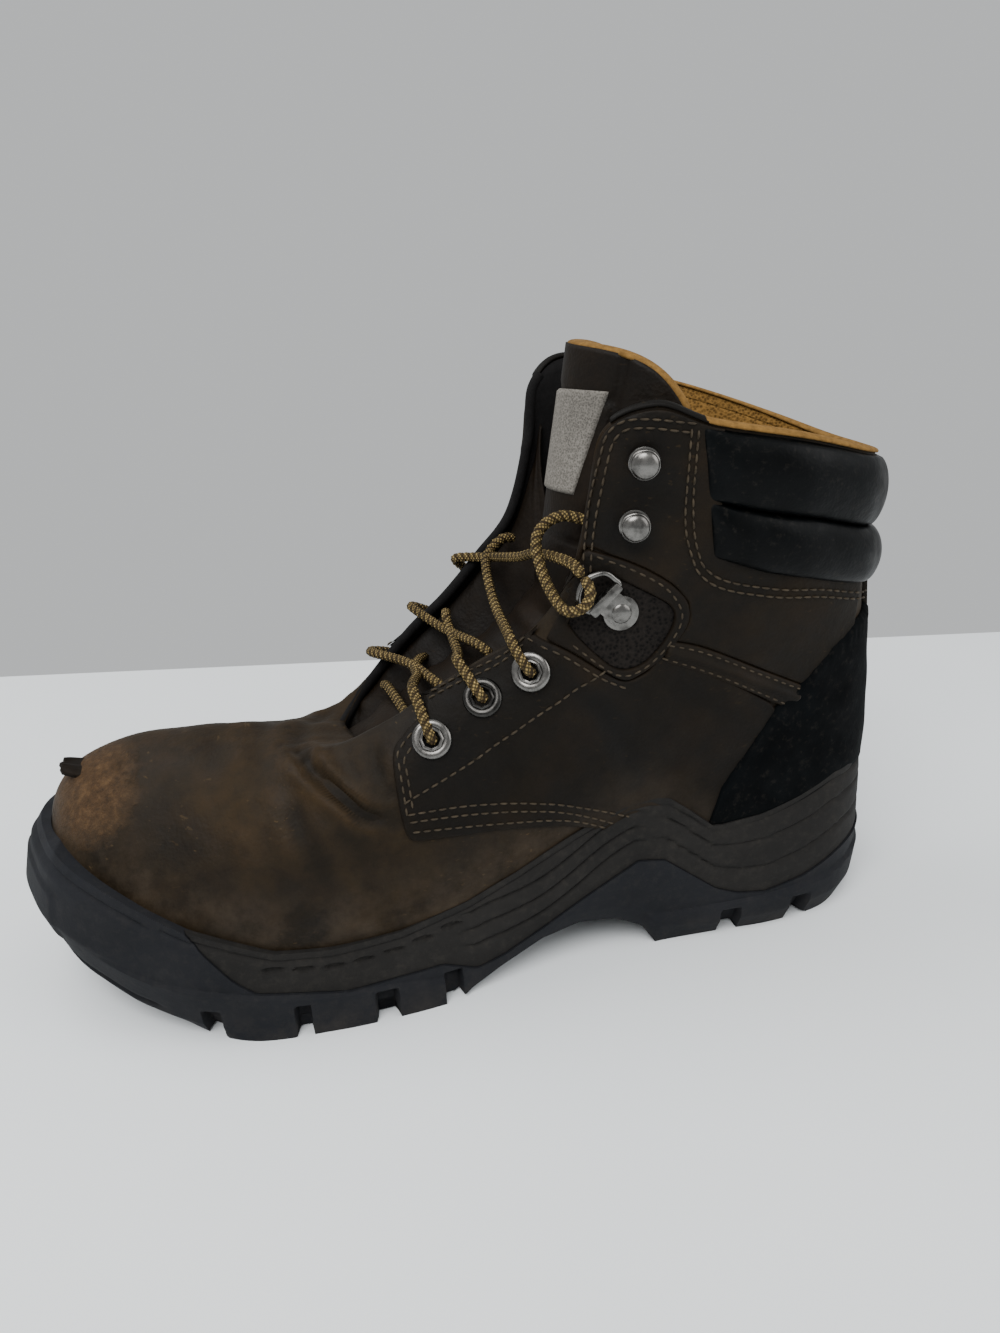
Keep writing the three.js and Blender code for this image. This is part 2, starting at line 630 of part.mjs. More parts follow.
function addPiece(name, geometry, look, matrix) {
  const mesh = new THREE.Mesh(geometry, new THREE.MeshStandardMaterial(look));
  mesh.name = name;
  if (matrix) mesh.applyMatrix4(matrix);
  group.add(mesh);
  return mesh;
}

const envelope = upperEnvelope();

function holeCutters() {
  const spots = EYELET_SPOTS.concat(EYELET_SPOTS.map(spotMirror));
  return spots.map(([v, t]) => {
    const drill = new THREE.CylinderGeometry(HOLE_RADIUS, HOLE_RADIUS, 14, 14);
    drill.rotateX(Math.PI / 2);
    return drill.applyMatrix4(mountFrame(v, t));
  });
}

addPiece('upper', fromManifold(cutBy(toManifold(upperShell()), holeCutters())), LEATHER);

const midsole = cutBy(toManifold(soleBody(0)), [envelope, belowParting(GAP)]);
addPiece('midsole', fromManifold(midsole), MIDSOLE_RUBBER);

const outsoleBlank = toManifold(soleBody(0.8)).intersect(toManifold(belowParting(0)));
addPiece('outsole', fromManifold(cutBy(outsoleBlank, [envelope, ...lugCutters()])), RUBBER);

const insoleLift = WALL + GAP;
const insoleInset = SEAT_INSET + WALL + 0.8;
addPiece('insole', stackedSolid([
  AROUND.map((v) => seatPoint(v, insoleInset, insoleLift)),
  AROUND.map((v) => seatPoint(v, insoleInset, insoleLift + INSOLE_THICKNESS)),
]), FELT);

addPiece('tongue', tongueSolid(), LEATHER);
addPiece('heel_counter', heelCounter(), BLACK_LEATHER);
addPiece('collar_roll_upper', collarRoll(SPLIT_HEIGHT, null, 0.8), BLACK_LEATHER);
addPiece('collar_roll_lower', collarRoll(ROLL_FOOT, SPLIT_HEIGHT, 0.8), BLACK_LEATHER);

const SIDES = [['outer', 1], ['inner', -1]];
SIDES.forEach(([word, side]) => {
  const placed = (spot) => mountFrame(...(side > 0 ? spot : spotMirror(spot)));
  EYELET_SPOTS.forEach((spot, i) => {
    addPiece(`eyelet_${word}_${i + 1}`, turned(EYELET_PROFILE), STEEL, placed(spot));
  });
  STUD_SPOTS.forEach((spot, i) => {
    addPiece(`hook_stud_${word}_${i + 1}`, turned(STUD_PROFILE), STEEL, placed(spot));
  });
  addPiece(`d_ring_${word}`, dRing(-side), STEEL, placed(D_RING_SPOT));
});

NEAR_RUNS.forEach((near, i) => {
  const run = laceRun(EYELET_SPOTS[i], near[0], 1, near[1]);
  const back = laceRun(spotMirror(EYELET_SPOTS[i]), FAR_RUNS[i][0], -1, FAR_RUNS[i][1]);
  addPiece(`lace_crossing_${i + 1}`, fromManifold(joined([run, back])), CORD);
});
const freeCord = (points) => cordTube(points.map((p) => new THREE.Vector3(...p)), LACE_RADIUS, LACE_SIDES);
addPiece('lace_bar', freeCord(LACE_BAR), CORD);
addPiece('lace_loop', freeCord(LACE_LOOP), CORD);

const box = new THREE.Box3().setFromObject(group);
group.position.set(-(box.min.x + box.max.x) / 2, -(box.min.y + box.max.y) / 2, -box.min.z);

export default group;
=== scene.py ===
"""A left work boot, worn and dirty, standing empty on a pale floor.

Blender 4.5. Sizes in the shoe's own frame are millimetres: x from the heel to the toe,
y towards the outer side, z up from the floor. Finished meshes are in metres.
"""

import math

import bpy
import numpy as np
from bpy.props import FloatProperty, FloatVectorProperty, PointerProperty
from mathutils import Matrix, Vector
from mathutils.geometry import delaunay_2d_cdt


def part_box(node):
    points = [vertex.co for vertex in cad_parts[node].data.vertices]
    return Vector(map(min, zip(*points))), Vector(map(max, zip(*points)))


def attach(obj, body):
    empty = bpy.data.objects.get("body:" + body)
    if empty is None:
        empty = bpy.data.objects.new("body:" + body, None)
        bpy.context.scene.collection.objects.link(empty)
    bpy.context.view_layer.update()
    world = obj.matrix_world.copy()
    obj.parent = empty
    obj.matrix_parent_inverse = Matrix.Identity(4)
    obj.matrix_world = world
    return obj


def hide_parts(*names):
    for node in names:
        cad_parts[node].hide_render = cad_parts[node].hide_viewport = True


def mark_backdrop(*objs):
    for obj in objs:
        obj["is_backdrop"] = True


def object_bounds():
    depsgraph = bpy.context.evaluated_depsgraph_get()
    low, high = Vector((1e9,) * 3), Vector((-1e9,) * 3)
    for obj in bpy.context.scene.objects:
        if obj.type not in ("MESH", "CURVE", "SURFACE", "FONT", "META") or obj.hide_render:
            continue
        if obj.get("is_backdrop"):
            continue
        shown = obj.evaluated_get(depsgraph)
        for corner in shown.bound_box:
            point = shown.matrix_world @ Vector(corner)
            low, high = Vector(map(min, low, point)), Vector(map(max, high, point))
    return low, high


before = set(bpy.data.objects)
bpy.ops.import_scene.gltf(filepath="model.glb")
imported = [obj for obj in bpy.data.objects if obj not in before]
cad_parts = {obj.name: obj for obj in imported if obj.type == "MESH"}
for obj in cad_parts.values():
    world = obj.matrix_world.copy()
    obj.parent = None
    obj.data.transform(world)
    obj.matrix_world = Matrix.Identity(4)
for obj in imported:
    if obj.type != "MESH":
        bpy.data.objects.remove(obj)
CAD_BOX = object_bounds()

bl_info = {
    "name": "Work boot",
    "version": (1, 0, 0),
    "blender": (4, 5, 0),
    "location": "3D View > Sidebar > Boot",
    "description": "Builds a worn left work boot piece by piece",
    "category": "Add Mesh",
}

MM = 0.001
BODY = "root"

# ---- the last: closed rows of x, distance from the centre line, height -------------------
# Each row runs from the toe over the side to the heel in 16 stations.
FEATHER = [
    (304, 0, 50), (299, 18, 48), (285, 33.5, 42), (260, 44.5, 33), (232, 49, 28), (204, 49, 27),
    (176, 46, 29), (150, 41.5, 35), (126, 37.5, 42), (104, 35.5, 48), (83, 35, 47), (62, 35, 46),
    (41, 34, 48), (20, 28, 52), (6, 15, 54), (2, 0, 54),
]
RISE = [
    (307, 0, 90), (302, 20, 85), (286, 36, 72), (259, 47, 60), (229, 52, 54), (200, 52, 54),
    (171, 49, 58), (146, 44.5, 66), (123, 40.5, 76), (103, 38.5, 86), (83, 37.5, 90), (62, 37.5, 92),
    (41, 36, 93), (18, 29.5, 95), (4, 15.5, 96), (0, 0, 96),
]
# The upper two rows differ from side to side, so they hold true y.
CROWN_OUTER = [
    (262, -6, 93), (255, 10, 92), (240, 20, 89), (216, 33, 85), (196, 38, 88), (176, 40, 98),
    (154, 40, 106), (134, 40, 114), (112, 41, 128), (100, 41, 134), (88, 40.5, 137), (70, 40, 138),
    (46, 38, 137), (24, 29, 134), (14, 15, 132), (12, 0, 131),
]
CROWN_INNER = [
    (262, -6, 93), (255, -17, 85), (238, -30, 70), (214, -39, 56), (197, -42, 66), (178, -44, 82),
    (156, -45, 98), (136, -45, 114), (116, -44, 130), (102, -43, 136), (88, -41.5, 138), (70, -40, 138),
    (46, -38, 137), (24, -29, 134), (14, -15, 132), (12, 0, 131),
]
TOP_OUTER = [
    (196, -4, 83), (193, 7, 84), (187, 19, 87), (177, 25, 98), (163, 26, 108), (147, 27, 117),
    (131, 27, 125), (119, 31, 143), (113, 33, 168), (109, 36, 189), (94, 41, 196), (77, 44, 190),
    (48, 44.5, 184), (24, 34.5, 177), (11, 17, 173), (8, 0, 172),
]
TOP_INNER = [
    (196, -4, 83), (196, -13, 81), (193, -22, 83), (184, -26, 95), (170, -27, 110), (156, -28, 122),
    (142, -31, 136), (129, -35, 150), (121, -38, 174), (117, -42, 195), (104, -46, 204), (80, -48, 197),
    (50, -47, 188), (25, -36, 179), (11, -17, 173), (8, 0, 172),
]
CENTRE_LINE = [(0, 0), (70, 0), (135, 3), (215, 4), (270, 0), (314, -7)]
WALL = 2.8                     # leather and lining together
SEAT_INSET = 5

# ---- the sole: x, half width, how far the rim and the lugs stand inside that -------------
SOLE_EDGE = [
    (315.5, 0, 9, 14), (309, 20, 8, 13), (294, 38, 6, 12), (262, 50, 4, 8), (236, 53.7, 2.5, 0),
    (208, 53.2, 2, 0), (186, 50.8, 2, 0), (166, 47.5, 2, 0), (140, 43, 2, 1), (115, 40, 2, 3),
    (90, 39, 1.5, 5), (66, 39.3, 1.5, 6), (42, 38.2, 1.5, 6), (19, 32, 1.5, 6), (4, 17.5, 1.5, 6),
    (-1, 0, 1.5, 6),
]
RIM_HEIGHT = [
    (-2, 60.5), (22, 60.5), (37, 54.5), (52, 50), (66, 47.8), (70, 48), (78, 55), (86, 61.5),
    (93, 63), (100, 62.3), (112, 57.5), (124, 52), (142, 43.5), (159, 37), (183, 31.5), (206, 30),
    (225, 31), (238, 35.5), (252, 40), (266, 46), (284, 54), (300, 61), (316, 62),
]
SEAT_HEIGHT = [(0, 37), (60, 36), (100, 32), (140, 24), (180, 18), (220, 18), (260, 22), (304, 33)]
UNDERSIDE = [
    (-2, 1), (8, 0), (90, 0), (95, 8), (106, 14), (120, 16.5), (134, 14.5), (150, 8), (166, 0), (248, 0),
    (262, 1.5), (275, 4.5), (290, 9.5), (300, 13.5), (310, 17.5), (316, 19.5),
]
PARTING_EDGE = [
    (-2, 30), (16, 27.7), (33, 20.5), (49, 17), (60, 18.5), (68, 22), (79, 30.5), (88, 37.5), (98, 39),
    (112, 31), (121, 26), (134, 19), (148, 12.5), (158, 10), (170, 15.5), (185, 15), (202, 14),
    (218, 16), (232, 17.5), (239, 22.7), (246.5, 32.2), (253.7, 41.5), (259, 60), (318, 80),
]
PARTING_MIDDLE = [
    (-2, 22), (40, 17), (70, 20), (100, 23), (120, 21), (140, 17), (170, 11), (238, 12), (257, 60),
    (318, 80),
]
GAP = 0.3                       # between the midsole and the outsole
SIDES = ((1, "outer"), (-1, "inner"))
STATIONS = 30                   # a column number is counted in these parts of a turn
PER_METRE = 1000                # millimetres
SHARP_ANGLE = 38                # degrees; sharper edges stay sharp


# ---- tables and rings --------------------------------------------------------------------
def smooth_table(x, table):
    """Cubic Hermite through the table's points, with weighted slopes."""
    xs, ys = np.array(table, float).T
    x = np.clip(np.asarray(x, float), xs[0], xs[-1])
    i = np.clip(np.searchsorted(xs, x, side="right") - 1, 0, len(xs) - 2)
    gaps = np.diff(xs)
    rises = np.diff(ys) / gaps
    slopes = np.empty(len(xs))
    slopes[0] = rises[0]
    slopes[-1] = rises[-1]
    slopes[1:-1] = (rises[:-1] * gaps[1:] + rises[1:] * gaps[:-1]) / (gaps[:-1] + gaps[1:])
    h = gaps[i]
    s = (x - xs[i]) / h
    start = ys[i] * (2 * s**3 - 3 * s**2 + 1) + h * slopes[i] * (s**3 - 2 * s**2 + s)
    return start + ys[i + 1] * (3 * s**2 - 2 * s**3) + h * slopes[i + 1] * (s**3 - s**2)


def steps_table(x, table):
    """Straight lines between the table's points."""
    xs, ys = np.array(table, float).T
    return np.interp(x, xs, ys)


def closed_ring(outer, inner=None):
    """A closed ring of points: toe, outer side, heel, inner side."""
    outer = np.array(outer, float)
    if inner is None:
        middle = smooth_table(outer[:, 0], CENTRE_LINE)
        inner = outer.copy()
        inner[:, 1] = middle - outer[:, 1]
        outer[:, 1] += middle
    inner = np.array(inner, float)
    return np.vstack([outer, inner[-2:0:-1]])


def ring_point(ring, v):
    """Catmull-Rom round a closed ring; v is in turns, 0 at the toe and 0.5 at the heel."""
    count = len(ring)
    f = np.mod(v, 1.0) * count
    i = np.floor(f).astype(int)
    s = (f - i)[..., None]
    a, b, c, d = (ring[(i + k) % count] for k in (-1, 0, 1, 2))
    bend = (2 * a - 5 * b + 4 * c - d) * s**2 + (3 * b - a - 3 * c + d) * s**3
    return 0.5 * (2 * b + (c - a) * s + bend)


RINGS = [
    closed_ring(FEATHER),
    closed_ring(RISE),
    closed_ring(CROWN_OUTER, CROWN_INNER),
    closed_ring(TOP_OUTER, TOP_INNER),
]


def last(v, t):
    """The upper's outer surface; t runs from the feather line (0) to the top line (1)."""
    v, t = np.broadcast_arrays(np.asarray(v, float), np.asarray(t, float))
    r = 1 - t
    weights = (r**3, 3 * t * r**2, 3 * t**2 * r, t**3)
    return sum(w[..., None] * ring_point(ring, v) for w, ring in zip(weights, RINGS))


def unit(vectors):
    return vectors / np.maximum(np.linalg.norm(vectors, axis=-1, keepdims=True), 1e-9)


def last_normal(v, t):
    step = 1e-3
    along = last(v + step, t) - last(v - step, t)
    up = last(v, np.minimum(t + step, 1)) - last(v, np.maximum(t - step, 0))
    return unit(np.cross(along, up))


def skin(v, t, offset=0.0):
    v, t = np.broadcast_arrays(np.asarray(v, float), np.asarray(t, float))
    return last(v, t) + last_normal(v, t) * np.broadcast_to(offset, v.shape)[..., None]


def height_spot(v, z):
    """The t at which column v reaches height z."""
    v, z = np.broadcast_arrays(np.asarray(v, float), np.asarray(z, float))
    low = np.zeros(v.shape)
    high = np.ones(v.shape)
    for _ in range(28):
        middle = (low + high) / 2
        below = last(v, middle)[..., 2] < z
        low = np.where(below, middle, low)
        high = np.where(below, high, middle)
    return (low + high) / 2


def side_spots(points):
    """v and t of places given as x and z on the outer side, by Newton steps."""
    points = np.atleast_2d(np.array(points, float))
    columns = np.linspace(0, 0.5, 121)
    rows = np.linspace(0, 1, 41)
    net = last(columns[:, None], rows[None, :])[..., [0, 2]]
    away = ((net[None] - points[:, None, None]) ** 2).sum(-1)
    nearest = away.reshape(len(points), -1).argmin(1)
    v = columns[nearest // len(rows)].copy()
    t = rows[nearest % len(rows)].copy()
    step = 1e-4
    for _ in range(14):
        here = last(v, t)[:, [0, 2]]
        a = (last(v + step, t)[:, [0, 2]] - here) / step
        b = (last(v, t + step)[:, [0, 2]] - here) / step
        det = a[:, 0] * b[:, 1] - a[:, 1] * b[:, 0]
        det = np.where(np.abs(det) < 1e-6, 1e-6, det)
        miss = points - here
        v = v + np.clip((miss[:, 0] * b[:, 1] - miss[:, 1] * b[:, 0]) / det, -0.01, 0.01)
        t = np.clip(t + np.clip((a[:, 0] * miss[:, 1] - a[:, 1] * miss[:, 0]) / det, -0.03, 0.03), 0, 0.992)
    return v, t


def to_side(v, side):
    """The same column on the other side of the boot."""
    return v if side > 0 else 1 - v


# ---- places ------------------------------------------------------------------------------
def find_home():
    """Where the shoe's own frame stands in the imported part, from the upper's box."""
    columns = np.arange(60) / 60
    rows = np.linspace(0, 1, 13)
    shell = skin(columns[:, None], rows[None, :]).reshape(-1, 3)
    low, high = (np.array(corner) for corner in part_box("upper"))
    shift = (low + high)[:2] / 2 - (shell.min(0) + shell.max(0))[:2] / 2 * MM
    return np.array([shift[0], shift[1], 0.0])


HOME = find_home()


def placed(points):
    """Points of the shoe's frame in metres in the part's frame."""
    return np.asarray(points, float) * MM + HOME


# ---- meshes ------------------------------------------------------------------------------
def deselect():
    if bpy.context.object and bpy.context.object.mode != "OBJECT":
        bpy.ops.object.mode_set(mode="OBJECT")
    bpy.ops.object.select_all(action="DESELECT")


def activate(obj):
    deselect()
    obj.select_set(True)
    bpy.context.view_layer.objects.active = obj


def finish_piece(obj, material, nodes=()):
    """Material, body and the CAD nodes that the piece stands for."""
    obj.data.materials.clear()
    obj.data.materials.append(material)
    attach(obj, BODY)
    if nodes:
        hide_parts(*nodes)
    return obj


def mesh_piece(name, points, faces, uv=None, wear_and_painted_light=None, around=None):
    """A mesh from points in the shoe's frame; uv and the painted channels (scuff, dirt, and rubbed places
    with painted highlight and shade) are one row per point.

    Faces that close a tube get their u carried past the full turn, around.
    """
    mesh = bpy.data.meshes.new(name)
    mesh.from_pydata(placed(points).tolist(), [], [tuple(int(i) for i in f) for f in faces])
    mesh.validate()
    if uv is not None:
        layer = mesh.uv_layers.new(name="UVMap")
        corners = np.empty(len(mesh.loops), int)
        mesh.loops.foreach_get("vertex_index", corners)
        spots = np.asarray(uv, float)[corners]
        if around is not None:
            for face in mesh.polygons:
                part = spots[face.loop_start : face.loop_start + face.loop_total]
                part[:, 0] += around * (part[:, 0] < part[:, 0].max() - around / 2)
        layer.data.foreach_set("uv", spots.ravel())
    if wear_and_painted_light is not None:
        # scuff, dirt, and rubbed places with painted highlight on crease ridges and painted shade in crease
        # troughs and dents
        layer = mesh.color_attributes.new("wear_and_painted_light", "FLOAT_COLOR", "POINT")
        rows = np.ones((len(points), 4))
        rows[:, :3] = wear_and_painted_light
        layer.data.foreach_set("color", rows.ravel())
    obj = bpy.data.objects.new(name, mesh)
    bpy.context.scene.collection.objects.link(obj)
    activate(obj)
    bpy.ops.object.mode_set(mode="EDIT")
    bpy.ops.mesh.select_all(action="SELECT")
    bpy.ops.mesh.normals_make_consistent(inside=False)
    bpy.ops.object.mode_set(mode="OBJECT")
    bpy.ops.object.shade_smooth()
    deselect()
    return obj


def grid_faces(rows, columns, wrap_columns=False, start=0):
    """Quads of a grid of points numbered row by row."""
    faces = []
    for r in range(rows - 1):
        for c in range(columns if wrap_columns else columns - 1):
            below = start + r * columns
            above = below + columns
            d = (c + 1) % columns
            faces.append((below + c, below + d, above + d, above + c))
    return faces


def closed_sheet(outer, inner):
    """Points and faces of two equal grids joined round their edges."""
    rows, columns = outer.shape[:2]
    count = rows * columns
    faces = grid_faces(rows, columns)
    faces += [tuple(count + i for i in reversed(f)) for f in grid_faces(rows, columns)]

    def at(r, c):
        return r * columns + c

    rim = [at(0, c) for c in range(columns - 1)] + [at(r, columns - 1) for r in range(rows - 1)]
    rim += [at(rows - 1, c) for c in range(columns - 1, 0, -1)] + [at(r, 0) for r in range(rows - 1, 0, -1)]
    for a, b in zip(rim, rim[1:] + rim[:1]):
        faces.append((b, a, count + a, count + b))
    return np.vstack([outer.reshape(-1, 3), inner.reshape(-1, 3)]), faces


def sheet_piece(name, outer, inner, look, nodes, wear_and_painted_light=None):
    """A closed sheet between two grids as a finished piece; its painted channels (scuff, dirt, and rubbed
    places with painted highlight and shade) are worked out from its points.
    """
    points, faces = closed_sheet(outer, inner)
    piece = mesh_piece(name, points, faces, wear_and_painted_light=wear_and_painted_light(points) if wear_and_painted_light else None)
    return finish_piece(piece, LOOKS[look], nodes)


def stacked_solid(rows):
    """Rows of one closed ring each, the first and last covered by strips from side to side."""
    count = rows.shape[1]
    faces = grid_faces(len(rows), count, wrap_columns=True)
    for base, flip in ((0, False), ((len(rows) - 1) * count, True)):
        for c in range(count // 2):
            far = (count - c) % count
            strip = [base + c, base + far, base + count - c - 1, base + c + 1]
            strip = list(dict.fromkeys(strip))
            if len(strip) > 2:
                faces.append(tuple(reversed(strip)) if flip else tuple(strip))
    return rows.reshape(-1, 3), faces


def smooth_line(points, step=1.2):
    """Catmull-Rom through the points, with a point about every step."""
    points = np.array(points, float)
    points = np.vstack([2 * points[0] - points[1], points, 2 * points[-1] - points[-2]])
    line = []
    for i in range(1, len(points) - 2):
        a, b, c, d = points[i - 1 : i + 3]
        count = max(1, int(round(np.linalg.norm(c - b) / step)))
        for s in np.arange(count) / count:
            bend = (2 * a - 5 * b + 4 * c - d) * s * s + (3 * b - a - 3 * c + d) * s**3
            line.append(0.5 * (2 * b + (c - a) * s + bend))
    line.append(points[-2])
    return np.array(line)


def evenly(line, step):
    """Points along a line, the same distance apart."""
    gaps = np.linalg.norm(np.diff(line, axis=0), axis=1)
    along = np.concatenate([[0], np.cumsum(gaps)])
    count = max(2, int(round(along[-1] / step)) + 1)
    marks = np.linspace(0, along[-1], count)
    return np.stack([np.interp(marks, along, line[:, k]) for k in range(line.shape[1])], axis=1)


def away_from(points, line):
    """Distance of each point to a line of straight pieces."""
    a = line[:-1][None]
    ab = line[1:][None] - a
    ap = points[:, None] - a
    s = np.clip((ap * ab).sum(-1) / np.maximum((ab * ab).sum(-1), 1e-9), 0, 1)
    return np.linalg.norm(ap - ab * s[..., None], axis=-1).min(1)


def smoothstep(low, high, x):
    s = np.clip((x - low) / (high - low), 0, 1)
    return s * s * (3 - 2 * s)


# ---- looks -------------------------------------------------------------------------------
def tone(red, green, blue):
    """A colour written in 0 to 255 steps as a linear colour."""
    return tuple((c / 255) ** 2.2 for c in (red, green, blue)) + (1.0,)


class Look:
    """One material, written node by node."""

    def __init__(self, name, roughness=0.7, metallic=0.0, coat=0.0):
        self.material = bpy.data.materials.new(name)
        self.material.use_nodes = True
        self.tree = self.material.node_tree
        self.shader = self.tree.nodes["Principled BSDF"]
        self.shader.inputs["Roughness"].default_value = roughness
        self.shader.inputs["Metallic"].default_value = metallic
        self.shader.inputs["Coat Weight"].default_value = coat
        self.shader.inputs["Specular IOR Level"].default_value = 0.14
        self.place = self.node("ShaderNodeTexCoord").outputs["Object"]

    def node(self, kind, **settings):
        made = self.tree.nodes.new(kind)
        for key, value in settings.items():
            setattr(made, key, value)
        return made

    def join(self, source, target):
        if isinstance(source, (int, float, tuple)):
            target.default_value = source
        else:
            self.tree.links.new(source, target)

    def stretched(self, scale, turn=(0, 0, 0)):
        made = self.node("ShaderNodeMapping")
        made.inputs["Scale"].default_value = scale
        made.inputs["Rotation"].default_value = turn
        self.join(self.place, made.inputs["Vector"])
        return made.outputs[0]

    def uv(self, scale=(1, 1, 1)):
        made = self.node("ShaderNodeMapping")
        made.inputs["Scale"].default_value = scale
        source = self.node("ShaderNodeUVMap", uv_map="UVMap")
        self.join(source.outputs[0], made.inputs["Vector"])
        return made.outputs[0]

    def noise(self, scale, detail=4.0, roughness=0.55, place=None, distortion=0.0):
        made = self.node("ShaderNodeTexNoise")
        made.inputs["Scale"].default_value = scale
        made.inputs["Detail"].default_value = detail
        made.inputs["Roughness"].default_value = roughness
        made.inputs["Distortion"].default_value = distortion
        self.join(place or self.place, made.inputs["Vector"])
        return made.outputs["Fac"]

    def cells(self, scale):
        made = self.node("ShaderNodeTexVoronoi", feature="F1")
        made.inputs["Scale"].default_value = scale
        self.join(self.place, made.inputs["Vector"])
        return made.outputs["Distance"]

    def ramp(self, fac, *stops):
        made = self.node("ShaderNodeValToRGB")
        line = made.color_ramp
        while len(line.elements) < len(stops):
            line.elements.new(0.5)
        for element, (place, colour) in zip(line.elements, stops):
            element.position = place
            element.color = colour if isinstance(colour, tuple) else (colour, colour, colour, 1.0)
        self.join(fac, made.inputs["Fac"])
        return made.outputs["Color"]

    def mix(self, fac, first, second, blend="MIX"):
        made = self.node("ShaderNodeMix", data_type="RGBA", blend_type=blend)
        self.join(fac, made.inputs[0])
        self.join(first, made.inputs[6])
        self.join(second, made.inputs[7])
        return made.outputs[2]

    def math(self, operation, first, second=0.5):
        made = self.node("ShaderNodeMath", operation=operation, use_clamp=True)
        self.join(first, made.inputs[0])
        self.join(second, made.inputs[1])
        return made.outputs[0]

    def wear_and_painted_light(self):
        """Scuff, dirt, and rubbed places with painted highlight and shade, as painted on the piece's
        points.
        """
        source = self.node("ShaderNodeAttribute", attribute_name="wear_and_painted_light")
        split = self.node("ShaderNodeSeparateColor")
        self.join(source.outputs["Color"], split.inputs[0])
        return split.outputs

    def bump(self, height, distance, strength=1.0, below=None):
        made = self.node("ShaderNodeBump")
        made.inputs["Strength"].default_value = strength
        made.inputs["Distance"].default_value = distance
        self.join(height, made.inputs["Height"])
        if below is not None:
            self.join(below, made.inputs["Normal"])
        return made.outputs[0]

    def done(self, colour, roughness=None, normal=None):
        self.join(colour, self.shader.inputs["Base Color"])
        if roughness is not None:
            self.join(roughness, self.shader.inputs["Roughness"])
        if normal is not None:
            self.join(normal, self.shader.inputs["Normal"])
        return self.material


def shade_of(colour, share):
    """A darker or lighter tone of a colour that the user has set."""
    return tuple(min(1.0, c * share) for c in colour[:3]) + (1.0,)


def oiled_leather(name, colour, roughness=0.62, grain=0.25, scuffs=0.5):
    """Mottled oiled leather: warm rubbed patches, fine scratches, scuff and dirt where painted, and painted
    highlight on crease ridges and painted shade in crease troughs and dents.
    """
    look = Look(name, roughness)
    cloud = look.noise(26, 6, 0.62, distortion=0.4)
    base = look.ramp(cloud, (0.30, shade_of(colour, 0.45)), (0.46, shade_of(colour, 0.85)),
                     (0.58, shade_of(colour, 1.2)), (0.74, shade_of(colour, 1.75)))
    fine = look.noise(210, 5, 0.7)
    base = look.mix(0.75, base, look.ramp(fine, (0.3, 0.35), (0.7, 1.0)), "MULTIPLY")
    scuff, dirt, rub_and_painted_light = look.wear_and_painted_light()[:3]
    warm = shade_of((colour[0] * 2.0, colour[1] * 1.8, colour[2] * 1.5), 1.0)
    # warm lighter patches: rubbed panel edges, the vamp's lighter top, and painted highlight on crease
    # ridges
    rubs_and_painted_highlight = look.math("MULTIPLY", look.ramp(rub_and_painted_light, (0.5, 0.0), (1.0, 1.0)),
                     look.ramp(look.noise(75, 6, 0.7), (0.34, 0.15), (0.62, 1.0)))
    base = look.mix(rubs_and_painted_highlight, base, warm)
    # painted shade: where the channel is below 0.5, in crease troughs and dents, the leather darkens
    # towards a quarter of its tone
    base = look.mix(look.ramp(rub_and_painted_light, (0.0, 0.85), (0.5, 0.0)), base, shade_of(colour, 0.25))
    scratch = look.ramp(look.noise(60, 3, 0.5, look.stretched((6, 1, 14), (0.3, 0.9, 0.2))),
                        (0.66, 0.0), (0.70, 1.0))
    scratch = look.math("MULTIPLY", scratch, look.ramp(look.noise(34, 2), (0.45, 0.0), (0.6, scuffs)))
    base = look.mix(scratch, base, shade_of(colour, 4.2))
    fuzz = look.ramp(look.noise(330, 6, 0.8), (0.32, tone(48, 37, 26)), (0.52, tone(70, 53, 36)),
                     (0.74, tone(98, 76, 52)))
    edge = look.ramp(look.noise(110, 8, 0.75), (0.36, 0.0), (0.66, 1.0))
    worn = look.ramp(look.math("MULTIPLY", look.math("ADD", scuff, edge), scuff), (0.3, 0.0), (0.95, 1.0))
    worn = look.math("MULTIPLY", worn, look.ramp(scuff, (0.04, 0.0), (0.2, 1.0)))
    base = look.mix(worn, base, fuzz)
    mud = look.ramp(look.noise(48, 7, 0.72), (0.42, 0.0), (0.66, 1.0))
    base = look.mix(look.math("MULTIPLY", mud, dirt), base, tone(66, 57, 47))
    gloss = look.ramp(cloud, (0.3, roughness - 0.1), (0.7, roughness + 0.16))
    pebbles = look.bump(look.cells(780), 0.00022, grain)
    folds = look.bump(look.noise(150, 5, 0.62), 0.0009, 0.5, pebbles)
    fibres = look.bump(look.math("MULTIPLY", worn, look.noise(900, 3, 0.7)), 0.0012, 0.8, folds)
    return look.done(base, gloss, fibres)


def black_leather(name, colour, roughness=0.42):
    """Smooth black leather, lightly greyed with specks of dust."""
    look = Look(name, roughness)
    look.shader.inputs["Specular IOR Level"].default_value = 0.08
    cloud = look.noise(60, 5, 0.6)
    base = look.ramp(cloud, (0.3, shade_of(colour, 0.5)), (0.55, shade_of(colour, 1.0)),
                     (0.75, shade_of(colour, 1.6)))
    dust = look.ramp(look.noise(420, 4, 0.7), (0.56, 0.0), (0.75, 0.09))
    base = look.mix(dust, base, tone(92, 86, 78))
    gloss = look.ramp(look.noise(90, 4), (0.3, roughness - 0.08), (0.7, roughness + 0.18))
    skin_bump = look.bump(look.cells(900), 0.0002, 0.2)
    return look.done(base, gloss, look.bump(look.noise(180, 4), 0.0006, 0.35, skin_bump))


